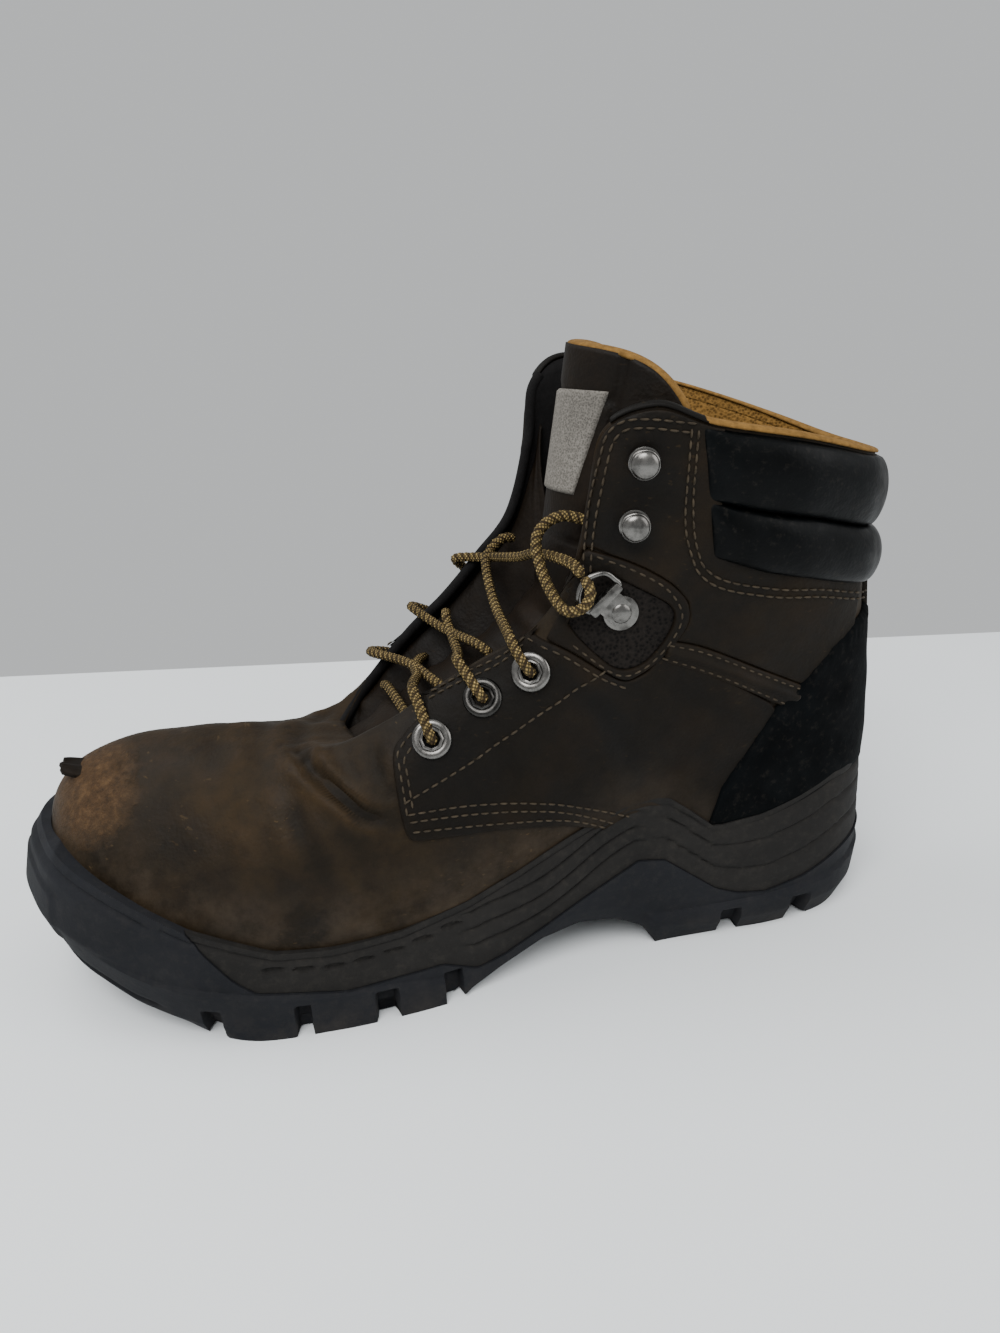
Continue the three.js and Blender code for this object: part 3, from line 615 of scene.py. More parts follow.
def rubber(name, colour, dust=0.35):
    """Dull rubber with dust and dried mud in the low places."""
    look = Look(name, 0.78)
    cloud = look.noise(34, 6, 0.65)
    base = look.ramp(cloud, (0.3, shade_of(colour, 0.82)), (0.55, shade_of(colour, 1.0)),
                     (0.75, shade_of(colour, 1.3)))
    scuff, dirt = look.wear_and_painted_light()[:2]
    speck = look.ramp(look.noise(300, 6, 0.75), (0.5, 0.0), (0.7, 1.0))
    base = look.mix(look.math("MULTIPLY", speck, dust), base, tone(124, 116, 104))
    mud = look.ramp(look.noise(70, 8, 0.75), (0.40, 0.0), (0.60, 1.0))
    base = look.mix(look.math("MULTIPLY", mud, dirt), base, tone(84, 76, 66))
    base = look.mix(look.math("MULTIPLY", scuff, look.ramp(look.noise(160, 5), (0.4, 0.2), (0.6, 1.0))),
                    base, shade_of(colour, 2.4))
    rough = look.bump(look.noise(620, 4, 0.7), 0.0004, 0.35)
    return look.done(base, None, look.bump(look.noise(90, 5), 0.0008, 0.35, rough))


def woven(name, colour, count=620, depth=0.0004, hole=0.25):
    """Knitted mesh: small round holes in rows."""
    look = Look(name, 0.92)
    dots = look.cells(count)
    base = look.ramp(dots, (0.15, shade_of(colour, hole)), (0.45, shade_of(colour, 1.0)),
                     (0.8, shade_of(colour, 1.35)))
    cloud = look.ramp(look.noise(40, 5, 0.6), (0.3, 0.62), (0.7, 1.0))
    base = look.mix(0.8, base, cloud, "MULTIPLY")
    return look.done(base, None, look.bump(dots, depth, 0.8))


def plain_cloth(name, colour):
    """Cloth tape or a cut edge."""
    look = Look(name, 0.85)
    base = look.ramp(look.noise(380, 5, 0.7), (0.3, shade_of(colour, 0.6)), (0.7, shade_of(colour, 1.3)))
    return look.done(base, None, look.bump(look.noise(900, 3), 0.0003, 0.5))


def thread(name, colour):
    look = Look(name, 0.6)
    base = look.ramp(look.noise(500, 3), (0.3, shade_of(colour, 0.6)), (0.7, shade_of(colour, 1.35)))
    return look.done(base, None, look.bump(look.noise(1800, 2), 0.0002, 0.4))


def braided(name, colour, fleck):
    """Round braid: two crossing sets of yarns, every third one dark, with painted shade in the gaps between
    yarns and painted highlight on their crowns.
    """
    look = Look(name, 0.7)
    waves = []
    for turn in (1, -1):
        wave = look.node("ShaderNodeTexWave", wave_type="BANDS", bands_direction="DIAGONAL")
        wave.inputs["Scale"].default_value = 1.0
        look.join(look.uv((1, turn, 1)), wave.inputs["Vector"])
        waves.append(wave.outputs["Fac"])
    yarns = look.math("MULTIPLY", waves[0], waves[1])
    # painted shade in the gaps between yarns, painted highlight on the yarn crowns
    base = look.ramp(yarns, (0.0, shade_of(colour, 0.12)), (0.12, shade_of(colour, 0.55)),
                     (0.4, shade_of(colour, 1.0)), (0.85, shade_of(colour, 1.7)))
    slow = look.node("ShaderNodeTexWave", wave_type="BANDS", bands_direction="DIAGONAL")
    slow.inputs["Scale"].default_value = 1.0
    look.join(look.uv((0.3334, -0.5, 1)), slow.inputs["Vector"])
    base = look.mix(look.ramp(slow.outputs["Fac"], (0.62, 0.0), (0.78, 0.85)), base, fleck)
    soiled = look.ramp(look.noise(70, 4), (0.35, 1.0), (0.7, 0.5))
    base = look.mix(0.9, base, soiled, "MULTIPLY")
    return look.done(base, None, look.bump(yarns, 0.0006, 0.9))


def steel(name, colour):
    """Tumbled steel, tarnished in patches."""
    look = Look(name, 0.32, metallic=1.0)
    cloud = look.noise(240, 5, 0.65)
    base = look.ramp(cloud, (0.3, shade_of(colour, 0.45)), (0.5, shade_of(colour, 1.0)),
                     (0.75, shade_of(colour, 1.25)))
    gloss = look.ramp(look.noise(420, 4), (0.3, 0.16), (0.7, 0.38))
    return look.done(base, gloss, look.bump(look.noise(700, 3), 0.0001, 0.12))


LOOKS = {}


def make_looks():
    """Every material once, in the colours that the panel shows."""
    colours = bpy.context.scene.boot_colours
    LOOKS.update(
        vamp=oiled_leather("vamp leather", tuple(colours.leather), 0.6, 0.3, 0.6),
        quarter=oiled_leather("quarter leather", shade_of(tuple(colours.leather), 0.34), 0.66, 0.4, 0.4),
        shaft=oiled_leather("shaft leather", shade_of(tuple(colours.leather), 0.48), 0.64, 0.35, 0.5),
        gusset=oiled_leather("gusset leather", tuple(colours.gusset), 0.6, 0.35, 0.3),
        black=black_leather("black leather", tuple(colours.black_leather), 0.36),
        suede=black_leather("black suede", shade_of(tuple(colours.black_leather), 1.5), 0.9),
        outsole=rubber("black rubber", tuple(colours.rubber), 0.03),
        midsole=rubber("grey brown rubber", tuple(colours.midsole), 0.04),
        lining=woven("mesh lining", tuple(colours.lining), 900, 0.0005, 0.45),
        tape=plain_cloth("mustard tape", shade_of(tuple(colours.lining), 0.9)),
        dark_lining=plain_cloth("black facing lining", tone(24, 23, 23)),
        mesh=woven("black mesh", tone(30, 27, 25), 760, 0.0007, 0.15),
        label=woven("woven label", tone(112, 108, 102), 1500, 0.0002, 0.6),
        insole=plain_cloth("insole cloth", tone(46, 38, 30)),
        thread=thread("brown thread", tone(60, 53, 43)),
        lace=braided("gold braid", tuple(colours.lace), tone(44, 34, 24)),
        steel=steel("steel", tuple(colours.steel)),
        dark_steel=steel("tarnished steel", shade_of(tuple(colours.steel), 0.3)),
        # painted shade: near-black cloth for the plug inside each eyelet
        hole=plain_cloth("eyelet hole shade", tone(10, 10, 10)),
    )


# ---- panels laid on the upper ------------------------------------------------------------
PANEL_STEP = 1.5


def outline_of(*lines, step=1.1):
    """A closed outline from open lines, smooth along each and sharp where they meet."""
    parts = []
    for points in lines:
        line = smooth_line(points, 0.5) if len(points) > 2 else np.array(points, float)
        parts.append(evenly(line, step)[:-1])
    return np.vstack(parts)


def inside(points, outline):
    """Which points lie inside a closed outline."""
    x, y = points[:, 0:1], points[:, 1:2]
    x1, y1 = outline.T
    x2, y2 = np.roll(outline, -1, axis=0).T
    rises = (y1 > y) != (y2 > y)
    across = np.where(rises, (x2 - x1) * (y - y1) / np.where(rises, y2 - y1, 1) + x1, -1e9)
    return ((across > x) & rises).sum(1) % 2 == 1


def closed_line(outline):
    return np.vstack([outline, outline[:1]])


def filled(outlines, step, rim):
    """Triangles of the first outline less the others, with rows of points near the edges."""
    edges = []
    points = []
    for outline in outlines:
        start = sum(len(p) for p in points)
        count = len(outline)
        edges += [(start + i, start + (i + 1) % count) for i in range(count)]
        points.append(outline)
    borders = [closed_line(o) for o in outlines]

    def clear(candidates, room):
        keep = inside(candidates, outlines[0])
        for hole in outlines[1:]:
            keep &= ~inside(candidates, hole)
        candidates = candidates[keep]
        gap = np.min([away_from(candidates, b) for b in borders], axis=0)
        return candidates[gap > room]

    for depth in rim:
        for outline in outlines:
            along = np.roll(outline, -1, axis=0) - np.roll(outline, 1, axis=0)
            sideways = unit(np.stack([-along[:, 1], along[:, 0]], axis=1)) * depth
            both = np.vstack([outline + sideways, outline - sideways])
            points.append(clear(both, depth * 0.9))
    low, high = outlines[0].min(0), outlines[0].max(0)
    xs = np.arange(low[0], high[0], step)
    ys = np.arange(low[1], high[1], step * 0.87)
    net = np.stack(np.meshgrid(xs, ys), axis=-1)
    net[1::2, :, 0] += step / 2
    points.append(clear(net.reshape(-1, 2), rim[-1] + step * 0.5))
    everything = np.vstack(points)
    corners, _, triangles, _, _, _ = delaunay_2d_cdt([Vector(p) for p in everything], edges, [], 0, 1e-4)
    corners = np.array([tuple(c) for c in corners])
    triangles = np.array([t for t in triangles if len(t) == 3])
    middle = corners[triangles].mean(1)
    keep = inside(middle, outlines[0])
    for hole in outlines[1:]:
        keep &= ~inside(middle, hole)
    triangles = triangles[keep]
    used = np.unique(triangles)
    number = np.full(len(corners), -1)
    number[used] = np.arange(len(used))
    gap = np.min([away_from(corners[used], b) for b in borders], axis=0)
    return corners[used], number[triangles], gap


def border_edges(triangles):
    """Edges that belong to one triangle only, in that triangle's direction."""
    seen = {}
    for a, b, c in triangles:
        for edge in ((a, b), (b, c), (c, a)):
            seen[edge] = True
    return [edge for edge in seen if (edge[1], edge[0]) not in seen]


def rounded(gap, reach):
    """0 at the edge, 1 beyond the reach, with a round shoulder."""
    s = np.clip(gap / reach, 0, 1)
    return np.sqrt(np.maximum(1 - (1 - s) ** 2, 0))


def laid_panel(name, outlines, lift, reach=1.1, swell=None, step=PANEL_STEP):
    """A thin panel on both sides of the upper, standing proud by lift."""
    corners, triangles, gap = filled(outlines, step, (reach * 0.35, reach))
    v, t = side_spots(corners)
    height = 0.15 + (lift - 0.15) * rounded(gap, reach)
    if swell is not None:
        height = height + swell(corners)
    rims = border_edges(triangles)
    points = []
    faces = []
    wear_and_painted_light = []
    for side in (1, -1):
        start = sum(len(p) for p in points)
        count = len(corners)
        columns = to_side(v, side)
        top = skin(columns, t, height + folds(columns, t))
        under = skin(columns, t, -0.5)
        points += [top, under]
        faces += [(start + a, start + b, start + c) for a, b, c in triangles]
        faces += [(start + count + c, start + count + b, start + count + a) for a, b, c in triangles]
        faces += [(start + b, start + a, start + count + a, start + count + b) for a, b in rims]
        wear_and_painted_light += [wear_and_painted_light_of(top, gap)] * 2
    return mesh_piece(name, np.vstack(points), faces, wear_and_painted_light=np.vstack(wear_and_painted_light))


def wear_and_painted_light_of(points, gap=None):
    """Scuff, dirt, and rubbed places with painted highlight on crease ridges and painted shade in crease
    troughs and dents, for points in the shoe's frame.
    """
    x, _, z = points.T
    dirt = smoothstep(58, 22, z - steps_table(x, RIM_HEIGHT) + 30) * 0.3
    # relief term: painted highlight on crease ridges, painted shade in crease troughs and dents; panel
    # edges are rubbed lighter below
    rub_and_painted_light = 0.56 + 0.16 * np.sin(x * 0.11 + z * 0.07) + np.clip(relief(points), -1.5, 1.2) * 0.3
    if gap is not None:
        rub_and_painted_light = np.maximum(rub_and_painted_light, 0.9 - 0.5 * smoothstep(0.2, 1.6, gap))
    return np.stack([np.zeros(len(x)), dirt, np.clip(rub_and_painted_light, 0, 1)], axis=1)


def top_line(x_from, x_to, margin):
    """x and z along the outer top edge, margin short of it."""
    columns = np.linspace(1.2 / STATIONS, 14 / STATIONS, 400)
    edge = last(columns, 1 - margin / 60)
    x = edge[:, 0]
    order = np.argsort(x)
    xs = np.linspace(x_from, x_to, 24)
    zs = np.interp(xs, x[order], edge[order, 2])
    return np.stack([xs, zs], axis=1)


QUARTER_EDGE = [
    (170, 101), (176, 96), (180, 90), (179.5, 73), (178, 66), (175, 63.5), (164, 63), (148, 62),
    (126, 58), (106, 51),
]
QUARTER_TOP = [
    (131, 125), (122, 121.5), (110, 113), (103, 109), (96, 111), (89, 116), (71, 107), (51, 94),
]
PATCH_OUTER = [
    (114, 153), (107, 151), (97, 146.5), (88, 140.5), (82.5, 134), (82, 127), (86, 120), (91, 115),
    (97, 111), (103, 109), (110, 113), (120, 120.5), (128, 124.5),
]
PATCH_INNER = [
    (113, 146), (106, 144), (95, 138), (88, 133), (87, 128), (90, 121.5), (96, 115), (102, 113),
    (108, 115), (117, 124), (121, 130),
]
PIPING_UPPER = [(87, 121), (76, 117.5), (61, 110), (38, 98)]
PIPING_LOWER = [(90, 114), (80, 110), (65, 102.5), (45, 91)]
FLAP_FRONT = [
    (117, 145), (114, 163), (111, 183), (108, 190), (104, 193.5), (97, 195), (86, 194), (79.5, 192),
]

# ---- creases pressed in by wear: depth, width, ridge share, points of the shoe's frame -----
# A point of two numbers is x and z on the outer side; three numbers are x, y and z.
CREASES = [
    (2.0, 2.0, 1.1, [(210, 20, 86), (205, 33, 82.5), (198, 41.5, 79), (191.5, 46, 74), (182, 47.5, 71)]),
    (1.1, 1.6, 1.0, [(206, 23, 84), (201, 33, 80), (195, 40, 75.5), (189, 44, 71)]),
    (0.8, 2.8, 0.8, [(215, 80), (212, 70), (206, 57), (200, 42)]),
    (0.9, 2.2, 0.7, [(184.5, 95), (186, 90), (184, 80)]),
    (0.4, 3.0, 0.7, [(226, 74), (223, 63), (218, 50), (214, 38)]),
    (0.3, 3.6, 0.6, [(240, 72), (236, 60), (231, 48)]),
    (0.4, 2.6, 0.6, [(196, 70), (193, 60), (190, 48), (189, 38)]),
    (0.8, 3.0, 0.9, [(208, 30, 86), (212, 15, 88), (211, 0, 88), (206, -16, 84), (200, -28, 78)]),
    (0.5, 3.2, 0.8, [(222, 28, 80), (226, 14, 88), (225, -2, 90), (219, -16, 84), (210, -30, 74)]),
    (0.3, 4.0, 0.6, [(238, 22, 84), (242, 8, 90), (240, -8, 88), (233, -20, 82)]),
    (1.0, 3.0, 0.8, [(206, -34, 76), (202, -42, 62), (198, -46, 48), (195, -48, 36)]),
    (0.8, 3.4, 0.7, [(222, -34, 70), (216, -44, 56), (212, -48, 42)]),
    (0.9, 3.2, 0.8, [(124, 112), (112, 100), (104, 86), (100, 70)]),
    (0.7, 3.6, 0.6, [(150, 96), (144, 84), (142, 72)]),
    (0.7, 4.2, 0.6, [(106, 170), (96, 168), (86, 170)]),
    (0.6, 3.6, 0.6, [(112, 158), (103, 156), (94, 150)]),
    (0.6, 3.6, 0.6, [(108, 184), (98, 182), (88, 184)]),
    (0.8, 4.0, 0.7, [(84, 103), (72, 96), (64, 86)]),
]
HOLLOWS = [                     # depth and reach of soft dents: x, y, z
    (0.7, 19, (196, 44, 56)), (1.0, 15, (150, 42, 84)), (-0.8, 17, (226, 46, 62)),
    (1.0, 12, (97, 40, 168)), (-0.9, 11, (104, 36, 178)), (0.8, 18, (258, 26, 84)),
    (-0.8, 14, (281, 12, 86)), (1.2, 18, (186, -44, 62)), (1.0, 16, (110, -44, 96)),
    (0.9, 12, (132, 42, 108)), (-0.8, 12, (112, 42, 122)),
]
CREASE_LINES = []


def find_crease_lines():
    """Each crease as a smooth line lying on the upper."""
    columns = np.arange(360) / 360
    net = last(columns[:, None], np.linspace(0, 1, 121)[None, :]).reshape(-1, 3)
    outer = net[net[:, 1] > 22]
    for depth, width, ridge, points in CREASES:
        snapped = []
        for p in points:
            pool = outer[:, [0, 2]] if len(p) == 2 else net
            home = outer if len(p) == 2 else net
            snapped.append(home[((pool - np.array(p)) ** 2).sum(1).argmin()])
        CREASE_LINES.append((depth, width, ridge, smooth_line(snapped, 2.0)))


def relief(points):
    """How far creases and dents move the leather in or out, in millimetres."""
    shape = points.shape[:-1]
    flat = points.reshape(-1, 3)
    moved = np.zeros(len(flat))
    for depth, width, ridge, line in CREASE_LINES:
        low, high = line.min(0) - 5 * width, line.max(0) + 5 * width
        near = ((flat > low) & (flat < high)).all(1)
        if not near.any():
            continue
        here = flat[near]
        gap = away_from(here, line)
        ends = np.minimum(
            np.linalg.norm(here - line[0], axis=1), np.linalg.norm(here - line[-1], axis=1)
        )
        fade = smoothstep(0, 9, ends)
        trough = np.exp(-((gap / width) ** 2))
        lip = np.exp(-(((gap - 2.1 * width) / (1.2 * width)) ** 2))
        moved[near] += (lip * ridge * 0.55 - trough) * depth * fade
    for depth, reach, spot in HOLLOWS:
        gap = np.linalg.norm(flat - np.array(spot), axis=1)
        moved -= depth * np.exp(-((gap / reach) ** 2))
    x, y, z = flat.T
    moved += 0.22 * np.sin(x * 0.21 + z * 0.13) * np.sin(z * 0.17 - y * 0.12 + 1.3)
    return moved.reshape(shape)


def folds(v, t):
    """The relief of the leather at v and t, dying out at the top edge."""
    return relief(last(v, t)) * smoothstep(1.0, 0.93, np.broadcast_to(t, np.broadcast(v, t).shape))


# ---- laces, from the outer and inner eyelets ---------------------------------------------
EYELETS = [(167, 95), (149.3, 106.1), (133.3, 114.3)]
D_RING_PLACE = (104.5, 132.6)
STUDS = [(100, 160.5), (97.2, 179.4)]
OVER_EDGE = 4.6
NEAR_RUNS = [
    (169, [(169, 8, 104.6), (169, -3, 103.4), (167, -14, 101.5), (164, -24, 99)]),
    (154, [(154.4, 12, 113), (155.1, -8, 114.4), (155.7, -14, 117.5), (155, -22, 117)]),
    (137.5, [(140, 5, 127.5), (140, -14, 135), (137.5, -21, 138.8), (132, -24, 142.5), (127, -25, 142)]),
]
FAR_RUNS = [
    (181, [(171.3, -8, 103.4), (163, 15, 104.6), (159, 22, 103)]),
    (165, [(156.9, -12, 113.8), (148, 13, 116.4), (144, 21, 115)]),
    (146, [(139.5, -23, 136.4), (130.5, 0, 142), (126.5, 13, 146.5), (122, 27, 148.5), (118.8, 37, 148.6),
           (117.2, 42.5, 146.4)]),
]
LACE_BAR = [(181, -19, 91), (179.5, -13, 92.9), (177, 0, 93.8), (174.5, 12, 93.6), (173, 18, 92)]
LACE_LOOP = [
    (117.0, 43.0, 146.2), (115.6, 46.2, 142.6), (117.4, 46.6, 138.0), (121.8, 44.6, 136),
    (124.4, 39, 137.3), (126.8, 30, 143.3), (128, 24, 152.3), (125.5, 22, 157.5),
    (119.6, 22, 160.6), (114, 24, 160), (110, 25.5, 158),
]


def one_spot(place, side=1):
    v, t = side_spots([place])
    return (float(to_side(v[0], side)), float(t[0]))


def edge_column(x, side):
    """The column whose top edge stands at x."""
    low, high = 1 / STATIONS, 9 / STATIONS
    for _ in range(30):
        middle = (low + high) / 2
        if last(to_side(middle, side), 1.0)[0] > x:
            low = middle
        else:
            high = middle
    return to_side(low, side)


def lace_path(place, side, edge_x, free):
    """From inside an eyelet, out and over the facing's edge, and across the tongue."""
    v, t = one_spot(place, side)
    out = last_normal(v, t)
    hidden = skin(v, t, -3.5)
    start = skin(v, t, 2.2)
    edge = skin(edge_column(edge_x, side), 1.0, OVER_EDGE)
    over = start * 0.7 + edge * 0.3 + out * 2.6
    nearly = start * 0.35 + edge * 0.65 + out * 2.4
    return smooth_line([hidden, start, over, nearly, edge] + [np.array(p, float) for p in free], 0.5)


def along_frames(line):
    """Two directions square to each point of a line, without twist."""
    ways = unit(np.gradient(line, axis=0))
    side = np.cross(ways[0], (0, 0, 1.0))
    if np.linalg.norm(side) < 1e-3:
        side = np.array((1.0, 0, 0))
    sides = []
    for way in ways:
        side = side - way * side.dot(way)
        side = side / np.linalg.norm(side)
        sides.append(side)
    sides = np.array(sides)
    return sides, np.cross(ways, sides)


BRAID_ROUND = 3.77              # the braid pattern's length round the lace
BRAID_SIDES = 16
BRAID_STEP = 0.55               # from ring to ring
BRAID_GROOVE = 0.16             # share of the radius
BRAID_ALONG = 0.45              # and along it, for each millimetre


def braid_tube(name, lines, radius):
    """Round braid along each line, with rounded ends and the yarns standing in relief."""
    points = []
    faces = []
    coordinates = []
    for line in lines:
        line = evenly(line, BRAID_STEP)
        across, up = along_frames(line)
        start = sum(len(p) for p in points)
        count = len(line)
        angles = np.arange(BRAID_SIDES) * 2 * math.pi / BRAID_SIDES
        along = np.arange(count)[:, None] * BRAID_STEP
        turn = angles[None, :]
        yarn = np.abs(np.sin(turn * 3 + along * 1.1)) * np.abs(np.sin(turn * 3 - along * 1.1))
        thick = radius * (1 - BRAID_GROOVE) + radius * BRAID_GROOVE * 1.5 * yarn
        end = np.minimum(np.arange(count), np.arange(count)[::-1])[:, None] * BRAID_STEP
        thick = thick * np.sqrt(np.clip(1 - (1 - np.clip(end / radius, 0, 1)) ** 2, 0.01, 1))
        ring = line[:, None] + thick[..., None] * (
            np.cos(turn)[..., None] * across[:, None] + np.sin(turn)[..., None] * up[:, None]
        )
        points.append(ring.reshape(-1, 3))
        faces += grid_faces(count, BRAID_SIDES, wrap_columns=True, start=start)
        faces += [tuple(start + i for i in reversed(range(BRAID_SIDES)))]
        faces += [tuple(start + (count - 1) * BRAID_SIDES + i for i in range(BRAID_SIDES))]
        share = np.broadcast_to(turn / (2 * math.pi), (count, BRAID_SIDES))
        along = np.broadcast_to(along, (count, BRAID_SIDES))
        coordinates.append(np.stack([share * BRAID_ROUND, along * BRAID_ALONG], axis=-1).reshape(-1, 2))
    return mesh_piece(name, np.vstack(points), faces, uv=np.vstack(coordinates), around=BRAID_ROUND)


def build_laces():
    radius = bpy.context.scene.boot_sizes.lace_thickness * PER_METRE / 2
    for i, place in enumerate(EYELETS):
        lines = [
            lace_path(place, 1, NEAR_RUNS[i][0], NEAR_RUNS[i][1]),
            lace_path(place, -1, FAR_RUNS[i][0], FAR_RUNS[i][1]),
        ]
        piece = braid_tube(f"lace_crossing_{i + 1}", lines, radius)
        finish_piece(piece, LOOKS["lace"], [f"lace_crossing_{i + 1}"])
    bar = braid_tube("lace_bar", [smooth_line(LACE_BAR, 0.5)], radius)
    finish_piece(bar, LOOKS["lace"], ["lace_bar"])
    path = smooth_line(LACE_LOOP, 0.5)
    loop = braid_tube("lace_loop", [path], radius)
    finish_piece(loop, LOOKS["lace"], ["lace_loop"])


# ---- upper -------------------------------------------------------------------------------
TOE_SCUFF = (288, 16, 78)


def vamp_wear_and_painted_light(points):
    x, y, z = points.T
    toe = np.linalg.norm((points - np.array(TOE_SCUFF)) * (0.85, 0.55, 1.0), axis=1)
    scuff = smoothstep(30, 6, toe) * 0.95
    scuff = np.maximum(scuff, smoothstep(262, 292, x) * smoothstep(60, 74, z) * 0.75)
    scuff = np.maximum(scuff, smoothstep(276, 296, x) * smoothstep(50, 62, z) * 0.35)
    dirt = smoothstep(30, 4, z - steps_table(x, RIM_HEIGHT)) * 0.5
    top = smoothstep(58, 86, z) * smoothstep(186, 206, x)
    # lighter on the vamp's top; the relief term is painted highlight on crease ridges and painted shade in
    # crease troughs and dents
    rub_and_painted_light = 0.52 + 0.32 * top + 0.10 * np.sin(x * 0.09 + y * 0.13) * np.sin(z * 0.11 - 0.6)
    rub_and_painted_light = np.clip(rub_and_painted_light + np.clip(relief(points), -1.6, 1.2) * 0.34, 0, 1)
    return np.stack([scuff, dirt, rub_and_painted_light], axis=1)


def ring_shell(name, offsets, columns, rows, wear_and_painted_light=None, t_from=0.0, t_to=1.0, with_relief=True):
    """A closed band right round the boot between two offsets from the last."""
    v = np.arange(columns) / columns
    t = np.linspace(t_from, t_to, rows)
    outer = skin(v[None, :], t[:, None], offsets[0])
    if with_relief:
        outer = outer + last_normal(v[None, :], t[:, None]) * folds(v[None, :], t[:, None])[..., None]
    inner = skin(v[None, :], t[:, None], offsets[1])
    count = columns * rows
    faces = grid_faces(rows, columns, wrap_columns=True)
    faces += [tuple(count + i for i in reversed(f)) for f in faces]
    for c in range(columns):
        d = (c + 1) % columns
        faces.append((d, c, count + c, count + d))
        top = (rows - 1) * columns
        faces.append((top + c, top + d, count + top + d, count + top + c))
    points = np.vstack([outer.reshape(-1, 3), inner.reshape(-1, 3)])
    return mesh_piece(name, points, faces, wear_and_painted_light=wear_and_painted_light(points) if wear_and_painted_light else None)


def build_upper():
    shell = ring_shell("upper_leather", (0.0, -1.2), 420, 96, vamp_wear_and_painted_light)
    finish_piece(shell, LOOKS["vamp"], ["upper"])
    lining = ring_shell("mesh_lining", (-1.4, -2.7), 220, 44, None, 0.0, 0.985, False)
    finish_piece(lining, LOOKS["lining"], ["upper"])
    v = np.linspace(0.6 / STATIONS, 10.2 / STATIONS, 110)
    bands = []
    for side in (1, -1):
        columns = to_side(v, side)[None, :]
        rows = np.linspace(0.42, 0.995, 30)[:, None]
        bands.append(closed_sheet(skin(columns, rows, -2.75), skin(columns, rows, -3.5)))
    count = len(bands[0][0])
    faces = bands[0][1] + [tuple(count + i for i in f) for f in bands[1][1]]
    facing = mesh_piece("facing_lining", np.vstack([bands[0][0], bands[1][0]]), faces)
    finish_piece(facing, LOOKS["dark_lining"], ["upper"])
    lines = []
    for side in (1, -1):
        columns = to_side(np.linspace(0.9 / STATIONS, 9.3 / STATIONS, 160), side)
        lines.append(skin(columns, 0.992, -2.2))
    edge = bead("facing_edge", lines[0], 1.15)
    finish_piece(edge, LOOKS["dark_lining"], ["upper"])
    edge = bead("far_facing_edge", lines[1] + (0, 0, 0.6), 1.9)
    finish_piece(edge, LOOKS["dark_lining"], ["upper"])
    build_binding()
    build_toe_flap()


BEAD_SIDES = 12


def bead(name, path, radius):
    """A round bead along a line in the shoe's frame."""
    across, up = along_frames(path)
    angles = np.arange(BEAD_SIDES) * 2 * math.pi / BEAD_SIDES
    ring = path[:, None] + radius * (
        np.cos(angles)[None, :, None] * across[:, None] + np.sin(angles)[None, :, None] * up[:, None]
    )
    faces = grid_faces(len(path), BEAD_SIDES, wrap_columns=True)
    faces += [tuple(reversed(range(BEAD_SIDES)))]
    faces += [tuple((len(path) - 1) * BEAD_SIDES + i for i in range(BEAD_SIDES))]
    return mesh_piece(name, ring.reshape(-1, 3), faces)


def build_binding():
    """Thin folded tape over the collar's top edge, and leather over the facings' tops."""
    stations = np.linspace(9.2, 14, 400) / STATIONS
    front = float(stations[last(stations, 1.0)[:, 0] > 79.6][-1])
    lay_binding("collar_tape", front, 1 - front, 240, "tape")
    columns = np.linspace(front, 1 - front, 220)[None, :]
    rows = np.linspace(0.972, 0.999, 6)[:, None]
    sheet_piece("collar_lining_top", skin(columns, rows, -1.35), skin(columns, rows, -2.8),
                "lining", ["upper"])
    lay_binding("facing_top_outer", 9.2 / STATIONS, front + 0.001, 60, "shaft")
    lay_binding("facing_top_inner", 0.999 - front, 1 - 9.2 / STATIONS, 60, "shaft")


def lay_binding(name, v_from, v_to, columns, look):
    v = np.linspace(v_from, v_to, columns)
    angles = np.linspace(-0.15 * math.pi, 1.15 * math.pi, 13)
    edge = skin(v, 1.0, -1.4)
    out = last_normal(v, 1.0)
    up = unit(last(v, 1.0) - last(v, 0.97))
    outer = np.array([edge + out * (2.3 * math.cos(a)) + up * (1.1 * math.sin(a)) for a in angles])
    inner = np.array([edge + out * 1.0 * math.cos(a) + up * (0.4 * math.sin(a) - 0.3) for a in angles])
    sheet_piece(name, outer, inner, look, ["upper"])


def panel_piece(name, outlines, look, slot, *shape, **more):
    finish_piece(laid_panel(name, outlines, *shape, **more), LOOKS[look], ["upper"])


